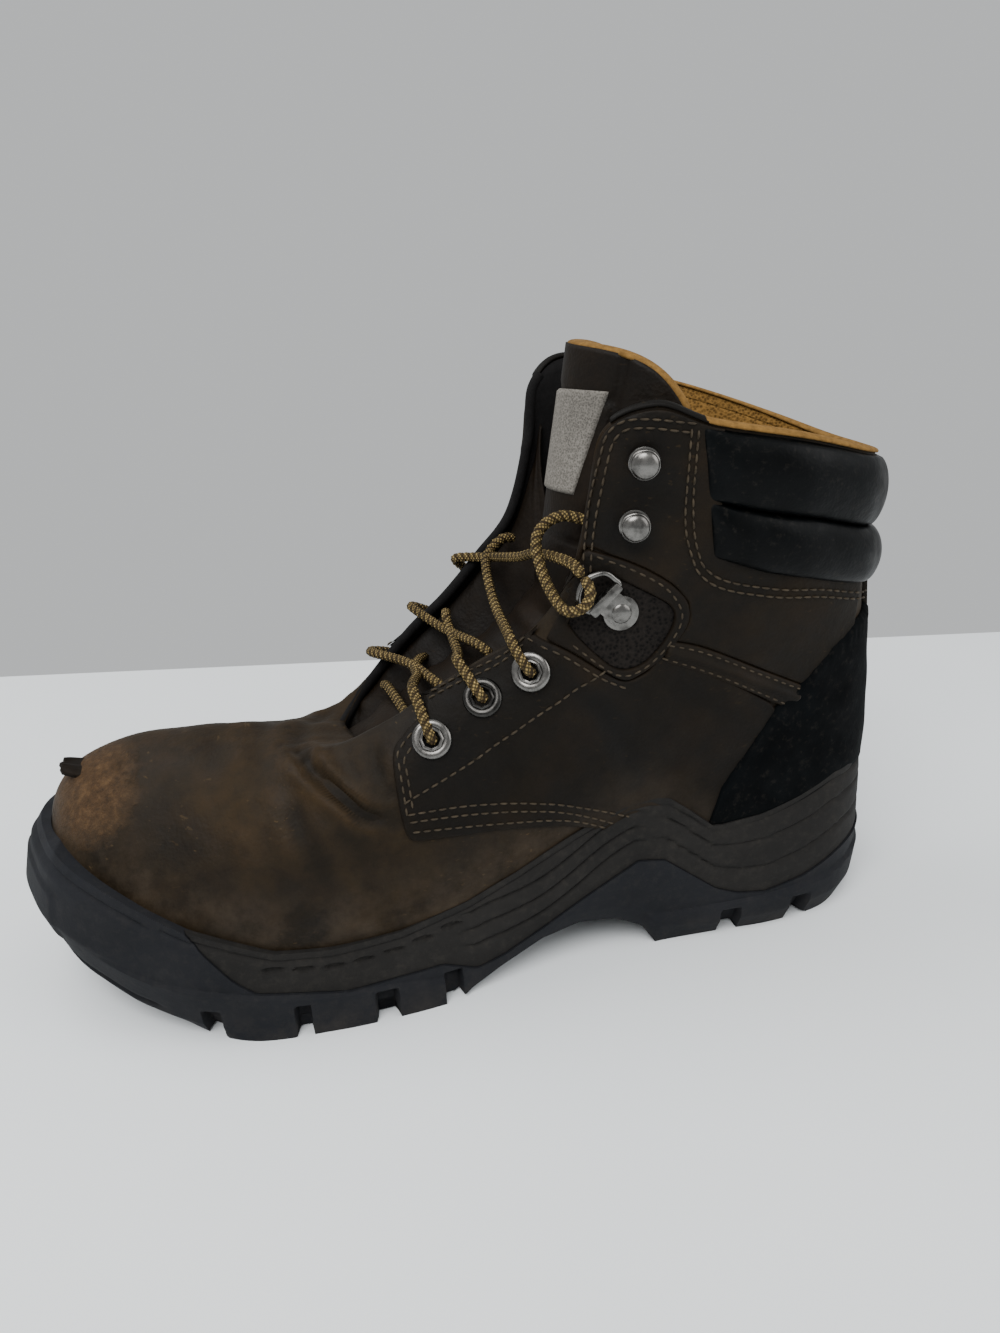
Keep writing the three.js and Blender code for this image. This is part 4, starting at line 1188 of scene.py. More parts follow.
def build_panels():
    lift = bpy.context.scene.boot_sizes.panel_thickness * PER_METRE
    throat = top_line(131.0, 168.6, 1.5)
    quarter = outline_of(
        QUARTER_EDGE, [(106, 51), (99, 49), (86, 46), (71, 42)], [(71, 42), (62, 64), (47, 88)],
        [(47, 88), (51, 94)], QUARTER_TOP[::-1], throat,
    )
    panel_piece("quarter", [quarter], "quarter", "brown_leather", lift)
    flap_edge = outline_of(
        FLAP_FRONT,
        [(79.5, 192), (74, 188), (73, 172), (73, 158), (69, 150), (54, 147), (30, 142), (17, 137)],
        [(17, 137), (18.5, 120), (19.6, 112)], [(19.6, 112), (29, 104), (38, 98)],
        PIPING_UPPER[::-1], [(87, 121), (84, 124), (82, 128), (82.5, 134)],
        PATCH_OUTER[4::-1] + [(117, 145)],
    )
    panel_piece("shaft_panel", [flap_edge], "shaft", "brown_leather", lift * 0.85)
    patch = outline_of(PATCH_OUTER, [(127.6, 124.6), (120.8, 136.6), (114.2, 153.0)])
    hole = outline_of(PATCH_INNER, [(120.8, 129.6), (116.9, 137.8), (113.4, 146.2)])
    panel_piece("ankle_patch_border", [patch, hole], "quarter", "brown_leather", lift * 1.15, 0.8, step=1.2)
    panel_piece("ankle_mesh", [hole], "mesh", "black_leather", 0.45, 0.5)
    strip = outline_of(PIPING_UPPER, [(38, 98), (42, 94), (45.4, 90.8)], PIPING_LOWER[::-1],
                       [(90.1, 114.2), (89.5, 118), (87.2, 121.2)])
    between = [((a[0] + b[0]) / 2, (a[1] + b[1]) / 2) for a, b in zip(PIPING_UPPER, PIPING_LOWER)]
    spine = evenly(np.array(between), 2)

    def cord_under(corners):
        return 1.5 * np.exp(-((away_from(corners, spine) / 1.25) ** 2))

    panel_piece("piping_strip", [strip], "shaft", "brown_leather", lift * 1.2, 0.8, cord_under, step=0.9)
    build_backstay()


def build_backstay():
    """A strip over the heel seam, from the counter to the padded collar."""
    v = np.linspace(14.0 / STATIONS, 16.0 / STATIONS, 40)[None, :]
    t = np.linspace(float(height_spot(0.5, 100.0)), float(height_spot(0.5, 132.0)), 24)[:, None]
    side = np.minimum(v - v.min(), v.max() - v) * STATIONS * 12
    lift = 0.3 + 1.6 * rounded(side, 1.2)
    outer = skin(v, t, np.broadcast_to(lift, (24, 40)))
    sheet_piece("heel_seam_strip", outer, skin(v, t, -0.4), "quarter", ["upper"], wear_and_painted_light_of)


COUNTER_TOP = [
    (-5, 120), (10, 119), (19, 117), (29, 111), (51, 90.5), (59, 77), (67, 64), (71, 49), (74, 38),
]
SPLIT_HEIGHT = [(0, 146.5), (8, 147), (42, 158), (61, 162), (84, 168)]
ROLL_FOOT = [(0, 126.5), (8, 127.5), (44, 138), (60, 142), (84, 151)]


def line_spot(v, table):
    """The t at which each column crosses a line of x and z."""
    low = np.zeros(len(v))
    high = np.ones(len(v))
    for _ in range(28):
        middle = (low + high) / 2
        here = last(v, middle)
        below = here[:, 2] < steps_table(here[:, 0], table)
        low = np.where(below, middle, low)
        high = np.where(below, high, middle)
    return (low + high) / 2


def build_counter():
    """Black suede round the heel with a soft fuzzy top edge."""
    v = np.linspace(10.4 / STATIONS, 1 - 10.4 / STATIONS, 300)
    foot = height_spot(v, steps_table(last(v, 0.1)[:, 0], RIM_HEIGHT) - 2)
    crest = np.maximum(line_spot(v, COUNTER_TOP), foot + 0.004)
    s = np.linspace(0, 1, 40)[:, None]
    t = foot + (crest - foot) * s
    rows = skin(v[None, :], t, 0)
    ends = np.minimum(v - v[0], v[-1] - v) * STATIONS * 10
    up = (crest - foot)[None, :] * (1 - s) * 95
    fuzz = 0.25 * np.sin(v * 900) * np.sin(v * 330 + 2)
    lift = 0.2 + 1.9 * np.minimum(rounded(ends, 2.0)[None, :], rounded(up + 0.1, 1.8)) + relief(rows)
    lift = lift + fuzz[None, :] * (s > 0.9)
    inner = skin(v[None, :], t, np.full(t.shape, -0.5))
    sheet_piece("heel_counter", skin(v[None, :], t, lift), inner, "suede",
                ["heel_counter"], wear_and_painted_light_of)


def build_rolls():
    """Two smooth padded rolls round the collar, stitched down above and below."""
    v = np.linspace(10.8 / STATIONS, 1 - 10.8 / STATIONS, 300)
    x_top = last(v, 0.9)[:, 0]
    split = height_spot(v, steps_table(x_top, SPLIT_HEIGHT))
    foot = height_spot(v, steps_table(last(v, 0.8)[:, 0], ROLL_FOOT))
    crest = np.full(len(v), 0.99)
    for word, low, high in (("upper", split, crest), ("lower", foot, split)):
        s = np.linspace(0, 1, 34)[:, None]
        t = low + (high - low) * s
        a = np.linspace(0, 1, len(v))
        ends = np.sqrt(np.clip(np.minimum(a, 1 - a) * 16, 0, 1))
        full = np.sqrt(np.clip(np.sin(math.pi * s), 0, 1)) ** 0.85
        pulls = 1 + 0.05 * np.sin(v * 190 + s * 2.5) + 0.04 * np.sin(v * 83 + 1.7)
        lift = 0.5 + (5.0 * full) * ends * pulls
        inner = skin(v[None, :], t, np.full(t.shape, -0.4))
        roll = sheet_piece(f"{word}_collar_roll", skin(v[None, :], t, lift), inner, "black",
                           [f"collar_roll_{word}"])


# ---- tongue ------------------------------------------------------------------------------
TONGUE = [
    (214, 71.5, 17, 9), (198, 75.5, 20, 11), (181, 85.5, 23, 11), (163, 97.5, 26, 11),
    (146, 108, 28, 12), (131, 118.5, 29, 14), (121.5, 132, 30, 17), (117.5, 149, 31, 21),
    (114.5, 168, 31.5, 25), (111, 189, 32, 29), (107.5, 211, 32.5, 32),
]
TONGUE_MIDDLE = [(0, -4), (3, -3), (6, 0), (10, 1)]
TONGUE_ROWS = 150               # points along and across its mesh
TONGUE_COLUMNS = 80


def tongue_point(row, across, offset):
    """Row 0 is at the toe end and 10 at the top; across runs from -1 to 1."""
    row, across = np.broadcast_arrays(np.asarray(row, float), np.asarray(across, float))

    def column(k, at):
        return smooth_table(at, [(i, entry[k]) for i, entry in enumerate(TONGUE)])

    x, z, half, drop = (column(k, row) for k in range(4))
    nearby = 0.05
    dx = column(0, np.minimum(row + nearby, 10)) - column(0, np.maximum(row - nearby, 0))
    dz = column(1, np.minimum(row + nearby, 10)) - column(1, np.maximum(row - nearby, 0))
    long = np.hypot(dx, dz)
    back = np.stack([dz / long, np.zeros_like(dx), -dx / long], axis=-1)
    middle = smooth_table(row, TONGUE_MIDDLE)
    bend = drop * np.abs(across) ** 2.2
    here = np.stack([x, middle + half * across, z], axis=-1) - back * bend[..., None]
    slope = 2.2 * drop * np.abs(across) ** 1.2 * np.sign(across)
    sideways = np.stack([np.zeros_like(x), half, np.zeros_like(x)], axis=-1) - back * slope[..., None]
    along = np.stack([dx, np.zeros_like(dx), dz], axis=-1)
    outward = unit(np.cross(sideways, along))
    return here + outward * np.broadcast_to(offset, row.shape)[..., None]


def tongue_top(across):
    """The row at which the tongue ends, lower towards its rounded corners."""
    return 10 - 0.75 * np.abs(across) ** 6


def tongue_relief(row, across):
    """Gusset folds under the laces and soft pads higher up."""
    folds = np.sin(row * 7.5 + across * 2.2) * 0.55 + np.sin(row * 12.3 - across * 3.1 + 1) * 0.3
    folds = folds * smoothstep(0.5, 2.0, row) * smoothstep(7.0, 5.6, row)
    seam = -1.4 * np.exp(-(((np.abs(across) - 0.62) / 0.035) ** 2)) * smoothstep(4.5, 5.5, row)
    pad = 2.1 * smoothstep(5.6, 6.6, row) * np.cos(across * 1.4)
    bars = -0.9 * np.exp(-(((row - 7.1) / 0.05) ** 2)) - 0.9 * np.exp(-(((row - 9.35) / 0.05) ** 2))
    return folds + seam + pad + bars * (np.abs(across) < 0.62)


def build_tongue():
    across = np.linspace(-1, 1, TONGUE_COLUMNS)[None, :]
    rows = np.linspace(0, 1, TONGUE_ROWS)[:, None] * tongue_top(across)
    plump = 4 * (0.5 + 0.5 * np.sqrt(1 - 0.9 * across**2))
    outer = tongue_point(rows, across, plump / 2 + tongue_relief(rows, across))
    inner = tongue_point(rows, across, -plump / 2)
    points, faces = closed_sheet(outer, inner)
    lower = smoothstep(7.2, 6.2, rows.ravel())
    wear_and_painted_light = np.zeros((len(points), 3))
    wear_and_painted_light[:, 2] = 0.5
    wear_and_painted_light[: TONGUE_ROWS * TONGUE_COLUMNS, 2] = 0.56 + 0.14 * lower
    body = mesh_piece("padded_tongue", points, faces, wear_and_painted_light=wear_and_painted_light)
    finish_piece(body, LOOKS["gusset"], ["tongue"])
    across = np.linspace(-0.98, 0.98, 120)
    angles = np.linspace(-0.2 * math.pi, 1.2 * math.pi, 13)
    crest = tongue_top(across)
    edge = tongue_point(crest, across, 0)
    out = unit(tongue_point(crest, across, 1.0) - edge)
    along_edge = unit(np.gradient(edge, axis=0))
    up = np.cross(out, along_edge)
    up = up * np.sign(up[:, 2:3] + 1e-9)
    high = 2.4 * np.sqrt(1 - 0.9 * across**2)[:, None] + 0.8
    outer = np.array([edge + out * high * math.cos(a) * 1.1 + up * 1.3 * math.sin(a) for a in angles])
    inner = np.array([edge + out * 1.2 * math.cos(a) + up * (0.3 * math.sin(a) - 0.6) for a in angles])
    sheet_piece("tongue_tape", outer, inner, "tape", ["tongue"])
    build_label()
    build_gusset()


def build_label():
    """A blank woven label, a little askew, stitched to the tongue."""
    u = np.linspace(-1, 1, 40)[None, :]
    w = np.linspace(-1, 1, 40)[:, None]
    row = 8.62 + 0.78 * w + 0.06 * u
    across = 0.14 + 0.06 * w + 0.36 * u
    edge = np.minimum(1 - np.abs(u), 1 - np.abs(w)) * 14
    ground = 1.15 + np.sqrt(1 - 0.9 * across**2) + 2.1 * np.cos(across * 1.4)
    lift = ground + 0.7 * rounded(edge, 0.8)
    sheet_piece("tongue_label", tongue_point(row, across, lift), tongue_point(row, across, ground - 1.2),
                "label", ["tongue"])


def build_gusset():
    """Soft leather folded between the tongue's sides and the facings."""
    rows = np.linspace(0.4, 6.6, 120)
    s = np.linspace(0, 1, 26)
    for side, word in SIDES:
        start = tongue_point(rows, side * 0.62, 1.6)
        columns = np.array([edge_column(min(max(x, 118), 186), side) for x in start[:, 0]])
        end = skin(columns, 0.93, -3.9)
        bulge = 3.2 * np.sin(math.pi * s)[None, :] * (0.75 + 0.45 * np.sin(rows * 3.1 + 0.6))[:, None]
        ripple = 0.5 * np.sin(rows * 9.0)[:, None] * np.sin(math.pi * s)[None, :]
        up = unit(last_normal(columns, 0.97) + (0.4, 0, 0.8))
        top = start[:, None] * (1 - s)[None, :, None] + end[:, None] * s[None, :, None]
        top = top + up[:, None] * (bulge + ripple)[..., None]
        points, faces = closed_sheet(top, top - up[:, None] * 1.2)
        wear_and_painted_light = np.zeros((len(points), 3))
        wear_and_painted_light[:, 2] = 0.56
        fold = mesh_piece(f"gusset_{word}", points, faces, wear_and_painted_light=wear_and_painted_light)
        finish_piece(fold, LOOKS["gusset"], ["tongue"])


def build_toe_flap():
    """A torn flake of leather, lifted off the tip of the toe."""
    u = np.linspace(-1, 1, 26)[None, :]
    w = np.linspace(0, 1, 18)[:, None]
    v = 0.35 / STATIONS + 0.27 / STATIONS * u * (1 - 0.35 * w**2)
    jag = 0.88 + 0.12 * np.sin(u * 3.1 + 0.7) + 0.04 * np.sin(u * 11)
    t = 0.372 - 0.04 * w + 0.004 * np.sin(u * 4)
    rise = 0.2 + 6.0 * w**1.3 * jag
    top = skin(v, t, rise)
    under = skin(v, t - 0.012, rise - 1.0 + 0.3 * w)
    points, faces = closed_sheet(top, under)
    flap = mesh_piece("torn_toe_flap", points, faces, wear_and_painted_light=wear_and_painted_light_of(points) * (0, 0, 0.7))
    finish_piece(flap, LOOKS["gusset"], ["upper"])


# ---- insole and sole ---------------------------------------------------------------------
def inset_point(ring, v, inset):
    """A point of a closed ring moved in towards the middle, level."""
    here = ring_point(ring, v)
    along = ring_point(ring, v + 1e-3) - ring_point(ring, v - 1e-3)
    inward = unit(np.stack([-along[..., 1], along[..., 0]], axis=-1))
    here = here.copy()
    here[..., :2] += inward * np.broadcast_to(inset, here.shape[:-1])[..., None]
    return here


def seat_point(v, inset, lift):
    here = inset_point(RINGS[0], v, inset)
    here[..., 2] = smooth_table(here[..., 0], SEAT_HEIGHT) + lift
    return here


def build_insole():
    v = np.arange(180) / 180
    rows = []
    inset = SEAT_INSET + WALL + 0.8
    for deep, lift in ((0.8, 3.1), (0.0, 3.4), (0.0, 5.8), (0.9, 6.6)):
        rows.append(seat_point(v, inset + deep, lift))
    points, faces = stacked_solid(np.array(rows))
    finish_piece(mesh_piece("insole", points, faces), LOOKS["insole"], ["insole"])


SOLE_RING = closed_ring([(x, y, 0) for x, y, _, _ in SOLE_EDGE])
INSET_SIDE = np.array([(x, rim, lug) for x, _, rim, lug in SOLE_EDGE], float)
INSETS = np.vstack([INSET_SIDE, INSET_SIDE[-2:0:-1]])
SOLE_COLUMNS = 900
LUG_GROOVES = [(244, 6, 12), (216, 4.5, 6), (192, 7, -6), (170, 6, -10), (62, 7, 0), (31, 7, 8)]
MIDDLE_GROOVES = [236, 210, 184, 74, 48]
GROOVE_DEPTH = 5
DASHES = [(226, 25.6), (216, 24.6), (206, 24), (196, 24.4), (186, 25.4), (176, 27.2), (166, 29.6)]


def half_width(x):
    outer = np.array([(e[0], e[1]) for e in SOLE_EDGE[::-1]], float)
    return np.interp(x, outer[:, 0], outer[:, 1])


def groove_mask(points, reach):
    """1 inside a tread groove cut in from the edge by reach, 0 outside."""
    x, y = points[..., 0], points[..., 1]
    middle = smooth_table(x, CENTRE_LINE)
    from_middle = np.abs(y - middle)
    mask = np.zeros(x.shape)
    for at, width, slant in LUG_GROOVES:
        turn = math.tan(math.radians(-slant))
        line = at - turn * (from_middle - half_width(at) + 18)
        gap = np.abs(x - line)
        on = smoothstep(width / 2 + 0.5, width / 2 - 0.5, gap)
        on = on * smoothstep(half_width(at) - reach - 1, half_width(at) - reach + 1, from_middle)
        mask = np.maximum(mask, on)
    return mask


def sole_row(level, proud, v):
    """The side of the sole at a share of its height, with side grooves and lines."""
    edge = ring_point(SOLE_RING, v)
    insets = ring_point(INSETS, v)
    low = steps_table(edge[:, 0], UNDERSIDE)
    rim = steps_table(edge[:, 0], RIM_HEIGHT)
    shares = np.array([1.0, 0.35, 0.0, 0.0, 0.0])
    lug = insets[:, 2] * np.interp(level, (0, 0.15, 0.5, 0.85, 1), shares)
    lip = insets[:, 1] * np.interp(level, (0, 0.15, 0.5, 0.85, 1), (0, 0, 0, 0.45, 1))
    z = low + (rim - low) * level
    inset = lug + lip - proud
    x = edge[:, 0]
    parting = steps_table(x, PARTING_EDGE)
    inset = inset + side_detail(x, z, rim, low, parting, edge)
    here = inset_point(SOLE_RING, v, inset)
    here[:, 2] = z
    return here


def side_detail(x, z, rim, low, parting, edge):
    """How far grooves, lines and ridges set the sole's side in, in millimetres."""
    deep = np.zeros(x.shape)
    below = smoothstep(1.0, -1.0, z - parting)
    # tread notches
    notch = groove_mask(edge, 7)
    deep += 5.0 * notch * smoothstep(12.5, 10.0, z) * below
    # lugs stand proud of the wall above them
    lug_top = np.interp(x, (0, 30, 60, 166, 188, 217, 239, 266, 300), (22, 17, 15, 9, 13, 15, 18, 23, 34))
    fore = smoothstep(160, 166, x) + smoothstep(100, 92, x)
    on_lug = smoothstep(lug_top + 0.7, lug_top - 0.7, z) * below
    on_lug = on_lug * np.clip(fore, 0, 1) * smoothstep(290, 270, x)
    deep -= 1.3 * on_lug
    # wave lines round the arch
    wave = smoothstep(92, 100, x) * smoothstep(166, 158, x) * (1 - below)
    for step in (0.28, 0.52, 0.76):
        line = parting + (rim - parting) * step + 1.6 * np.sin((x - 92) * 0.12)
        deep += 1.3 * wave * np.exp(-(((z - line) / 0.75) ** 2))
    # heel: two long lines
    heel = smoothstep(96, 88, x) * (1 - below)
    for step in (0.34, 0.68):
        line = parting + (rim - parting) * step
        deep += 1.0 * heel * np.exp(-(((z - line) / 0.7) ** 2))
    # short dash grooves at the forefoot
    for at, height in DASHES:
        gap = np.hypot((x - at) / 3.4, (z - height) / 1.0)
        deep += 1.3 * smoothstep(1.25, 0.8, gap) * (1 - below)
    # small notches in the bumper's lower edge
    for at in (270, 286, 299):
        deep += 2.0 * smoothstep(2.2, 1.4, np.abs(x - at)) * smoothstep(low + 6.5, low + 4.5, z)
    # a line under the rim
    deep += 0.8 * np.exp(-(((z - rim + 2.8) / 0.55) ** 2)) * (x < 262)
    # toe bumper: a stepped lip and a bare raised plate where a mark would be
    toe = smoothstep(262, 270, x)
    deep += 1.2 * toe * np.exp(-(((z - rim + 4.2) / 0.8) ** 2))
    deep += 1.4 * toe * np.exp(-(((z - low - 9.0) / 0.9) ** 2))
    plate = smoothstep(20, 17, np.abs(edge[:, 1] - 12)) * smoothstep(296, 300, x)
    tall = smoothstep(10, 8.5, np.abs(z - (rim + low) / 2 - 2))
    deep -= 0.9 * plate * tall
    return deep


def sole_solid(name, proud):
    v = np.arange(SOLE_COLUMNS) / SOLE_COLUMNS
    levels = np.concatenate([[0, 0.02, 0.05], np.linspace(0.08, 0.95, 52), [0.975, 1.0]])
    side = [sole_row(level, proud, v) for level in levels]
    rows = []
    bottom = side[0]
    middle = smooth_table(bottom[:, 0], CENTRE_LINE)
    for share in (0.02, 0.12, 0.24, 0.36, 0.46, 0.54, 0.6, 0.66, 0.72, 0.78, 0.84, 0.89, 0.93, 0.97, 0.99):
        row = bottom.copy()
        row[:, 1] = middle + (bottom[:, 1] - middle) * share
        row[:, 2] = steps_table(row[:, 0], UNDERSIDE)
        row[:, 2] += GROOVE_DEPTH * groove_mask(row, 18)
        for at in MIDDLE_GROOVES:
            within = smoothstep(22, 20, np.abs(row[:, 1] - middle))
            row[:, 2] += 4.0 * smoothstep(2.4, 1.8, np.abs(row[:, 0] - at)) * within
        rows.append(row)
    side[0][:, 2] += GROOVE_DEPTH * groove_mask(side[0], 18)
    points, faces = stacked_solid(np.array(rows + side))
    return mesh_piece(name, points, faces)


def parting_block(name, lift):
    v = np.arange(SOLE_COLUMNS // 2) / (SOLE_COLUMNS // 2)
    rows = []
    for inset, kind in ((-6, None), (-6, PARTING_EDGE), (4.5, PARTING_EDGE), (9, PARTING_MIDDLE)):
        row = inset_point(SOLE_RING, v, inset)
        row[:, 2] = -6 if kind is None else steps_table(row[:, 0], kind) + lift
        rows.append(row)
    points, faces = stacked_solid(np.array(rows))
    return mesh_piece(name, points, faces)


def foot_envelope(name):
    """The room that the upper takes, as one solid."""
    v = np.arange(300) / 300
    rows = [seat_point(v, SEAT_INSET + 9, -0.25), seat_point(v, SEAT_INSET, -0.25)]
    for t in (0.0, 0.06, 0.12, 0.2, 0.3, 0.42, 0.56):
        rows.append(skin(v, t, 0.1))
    points, faces = stacked_solid(np.array(rows))
    return mesh_piece(name, points, faces)


def cut(obj, other, operation):
    """A boolean applied on the spot."""
    activate(obj)
    step = obj.modifiers.new("cut", "BOOLEAN")
    step.operation = operation
    step.solver = "MANIFOLD"
    step.object = other
    bpy.ops.object.modifier_apply(modifier=step.name)
    deselect()


def paint_sole(obj):
    """A scuff high on the toe bumper and dust in the low places."""
    mesh = obj.data
    count = len(mesh.vertices)
    spots = np.empty(count * 3)
    mesh.vertices.foreach_get("co", spots)
    x, _, z = ((spots.reshape(-1, 3) - HOME) / MM).T
    layer = mesh.color_attributes.new("wear_and_painted_light", "FLOAT_COLOR", "POINT")
    rows = np.ones((count, 4))
    rows[:, 0] = smoothstep(262, 300, x) * smoothstep(36, 58, z) * 0.2
    rows[:, 1] = 0.02 + 0.1 * smoothstep(14, 2, z)
    rows[:, 2] = 0.5
    layer.data.foreach_set("color", rows.ravel())


def build_sole():
    envelope = foot_envelope("foot_room")
    under = parting_block("under_the_parting", GAP)
    middle = sole_solid("midsole", 0.0)
    cut(middle, envelope, "DIFFERENCE")
    cut(middle, under, "DIFFERENCE")
    flush = parting_block("parting", 0.0)
    tread = sole_solid("outsole", 0.8)
    cut(tread, flush, "INTERSECT")
    cut(tread, envelope, "DIFFERENCE")
    for helper in (envelope, under, flush):
        bpy.data.objects.remove(helper)
    for obj, look, slot, node in ((middle, "midsole", "midsole_rubber", "midsole"),
                                  (tread, "outsole", "black_rubber", "outsole")):
        paint_sole(obj)
        activate(obj)
        bpy.ops.object.shade_smooth_by_angle(angle=math.radians(SHARP_ANGLE))
        deselect()
        finish_piece(obj, LOOKS[look], [node])


# ---- hardware ----------------------------------------------------------------------------
def mount(place, side):
    """A frame on the upper in metres: Z outwards, Y up the side."""
    v, t = one_spot(place, side)
    out = last_normal(v, t)
    up = unit(np.array((0, 0, 1.0)) - out * out[2])
    across = np.cross(up, out)
    spot = placed(last(v, t))
    return Matrix((
        (across[0], up[0], out[0], spot[0]),
        (across[1], up[1], out[1], spot[1]),
        (across[2], up[2], out[2], spot[2]),
        (0, 0, 0, 1),
    ))


def squashed(obj, z, squash):
    """The part flattened along Z about height z."""
    bpy.ops.object.mode_set(mode="EDIT")
    bpy.ops.mesh.select_all(action="SELECT")
    bpy.ops.transform.resize(value=(1, 1, squash), center_override=(0, 0, z * MM))
    bpy.ops.object.mode_set(mode="OBJECT")
    return obj


def bevelled(obj, bevel):
    step = obj.modifiers.new("round edges", "BEVEL")
    step.width = bevel * MM
    step.segments = 2
    step.limit_method = "ANGLE"
    bpy.ops.object.modifier_apply(modifier=step.name)
    return obj


def ring_part(radius, wire, z, sides=36, around=12, squash=1.0):
    bpy.ops.mesh.primitive_torus_add(
        major_radius=radius * MM, minor_radius=wire * MM, major_segments=sides, minor_segments=around,
        location=(0, 0, z * MM),
    )
    return squashed(bpy.context.object, z, squash)


def drum_part(radius, low, high, sides=36, bevel=0.3):
    bpy.ops.mesh.primitive_cylinder_add(
        radius=radius * MM, depth=(high - low) * MM, vertices=sides, location=(0, 0, (low + high) / 2 * MM)
    )
    return bevelled(bpy.context.object, bevel)


def dome_part(radius, z, squash):
    bpy.ops.mesh.primitive_uv_sphere_add(
        radius=radius * MM, segments=32, ring_count=16, location=(0, 0, z * MM)
    )
    return squashed(bpy.context.object, z, squash)


def block_part(size, place, bevel=0.4):
    bpy.ops.mesh.primitive_cube_add(
        size=1, location=tuple(p * MM for p in place), scale=tuple(s * MM for s in size)
    )
    obj = bpy.context.object
    bpy.ops.object.transform_apply(location=False, rotation=False, scale=True)
    return bevelled(obj, bevel)


def assembled(name, parts, place):
    """Parts joined, set on the upper, and their place put into the mesh."""
    deselect()
    for part in parts:
        part.select_set(True)
    bpy.context.view_layer.objects.active = parts[0]
    bpy.ops.object.transform_apply(location=True, rotation=True, scale=True)
    bpy.ops.object.join()
    obj = bpy.context.object
    obj.name = name
    obj.matrix_world = place
    bpy.ops.object.transform_apply(location=True, rotation=True, scale=True)
    bpy.ops.object.shade_smooth_by_angle(angle=math.radians(SHARP_ANGLE))
    deselect()
    return obj


def build_eyelets():
    for side, word in SIDES:
        for i, place in enumerate(EYELETS):
            parts = [
                ring_part(5.0, 1.5, 1.6, 40, 14, 0.62),
                ring_part(3.5, 0.7, 2.0, 8, 8, 1.3),
            ]
            eyelet = assembled(f"eyelet_{word}_{i + 1}", parts, mount(place, side))
            look = "dark_steel" if i == 1 else "steel"
            # a near-black plug inside the eyelet stands in for the shade in its hole
            drum = drum_part(3.3, -3.0, 1.2, 24, 0.1)
            hole = assembled(f"eyelet_hole_shade_{word}_{i + 1}", [drum], mount(place, side))
            finish_piece(hole, LOOKS["hole"], [f"eyelet_{word}_{i + 1}"])
            finish_piece(eyelet, LOOKS[look], [f"eyelet_{word}_{i + 1}"])


def build_studs():
    for side, word in SIDES:
        for i, place in enumerate(STUDS):
            parts = [
                drum_part(4.9, 0.9, 1.9, 36, 0.35),
                drum_part(2.6, 1.2, 4.6, 24, 0.2),
                dome_part(4.3, 5.2, 0.46),
                ring_part(4.0, 0.7, 4.7, 36, 10, 0.9),
            ]
            stud = assembled(f"hook_stud_{word}_{i + 1}", parts, mount(place, side))
            finish_piece(stud, LOOKS["steel"], [f"hook_stud_{word}_{i + 1}"])


D_RING_LOOP = [(7, -5.4), (10, -6.6), (14, -5.6), (16.6, 0), (14, 5.6), (10, 6.6), (7, 5.4)]


def build_d_rings():
    for side, word in SIDES:
        flip = -side
        wire_path = np.array([(x * flip, y, 3.1) for x, y in D_RING_LOOP])
        line = smooth_line(np.vstack([wire_path, wire_path[:1]]), 0.6)
        across, up = along_frames(line)
        angles = np.arange(12) * 2 * math.pi / 12
        ring = line[:, None] + 0.9 * (
            np.cos(angles)[None, :, None] * across[:, None] + np.sin(angles)[None, :, None] * up[:, None]
        )
        spots = (ring.reshape(-1, 3) * MM - HOME) / MM
        wire = mesh_piece("wire", spots, grid_faces(len(line), 12, wrap_columns=True))
        parts = [
            drum_part(5.8, 0.9, 2.0, 40, 0.4),
            dome_part(3.4, 1.9, 0.4),
            block_part((9.5, 9, 1.3), (4.4 * flip, 0, 1.7)),
            block_part((3.4, 13, 3.4), (7.4 * flip, 0, 2.9), 0.9),
            wire,
        ]
        turn = Matrix.Rotation(math.radians(45) * flip, 4, "Z")
        ring = assembled(f"D-ring_{word}", parts, mount(D_RING_PLACE, side) @ turn)
        finish_piece(ring, LOOKS["steel"], [f"d_ring_{word}"])


# ---- stitches ----------------------------------------------------------------------------
STITCH_LINES = [                # x and z on the outer side
    [(177, 77), (158, 85.5), (143, 94), (111, 113)],
    [(176, 73), (159, 73), (141, 71), (123, 66), (101, 56.5)],
    [(175.5, 70.5), (159, 70), (141, 68), (123, 63), (105, 54)],
    [(175, 67), (159, 66), (141, 64), (123, 60), (108, 53)],
    [(168.5, 100), (174, 95.5), (178, 91), (178, 86), (177.5, 74)],
    [(167, 98.5), (172, 94), (176, 90), (176, 86), (175.5, 76)],
    [(115, 147), (113, 161), (109, 183), (107, 188.5), (103, 191.5), (96, 192), (84, 190.5)],
    [(113, 147), (111, 161), (107, 182), (105, 187), (102.5, 189), (96, 189.5), (85.5, 188)],
    [(82, 187), (82.5, 172), (82, 159), (80, 150), (77, 144.5), (69.5, 140), (54, 136), (36, 133),
     (14, 126)],
    [(84, 187.5), (84.5, 172), (84.5, 159), (82, 149), (78.5, 142.5), (70.5, 137.5), (55, 133.5),
     (36, 130.5), (16, 124.5)],
]


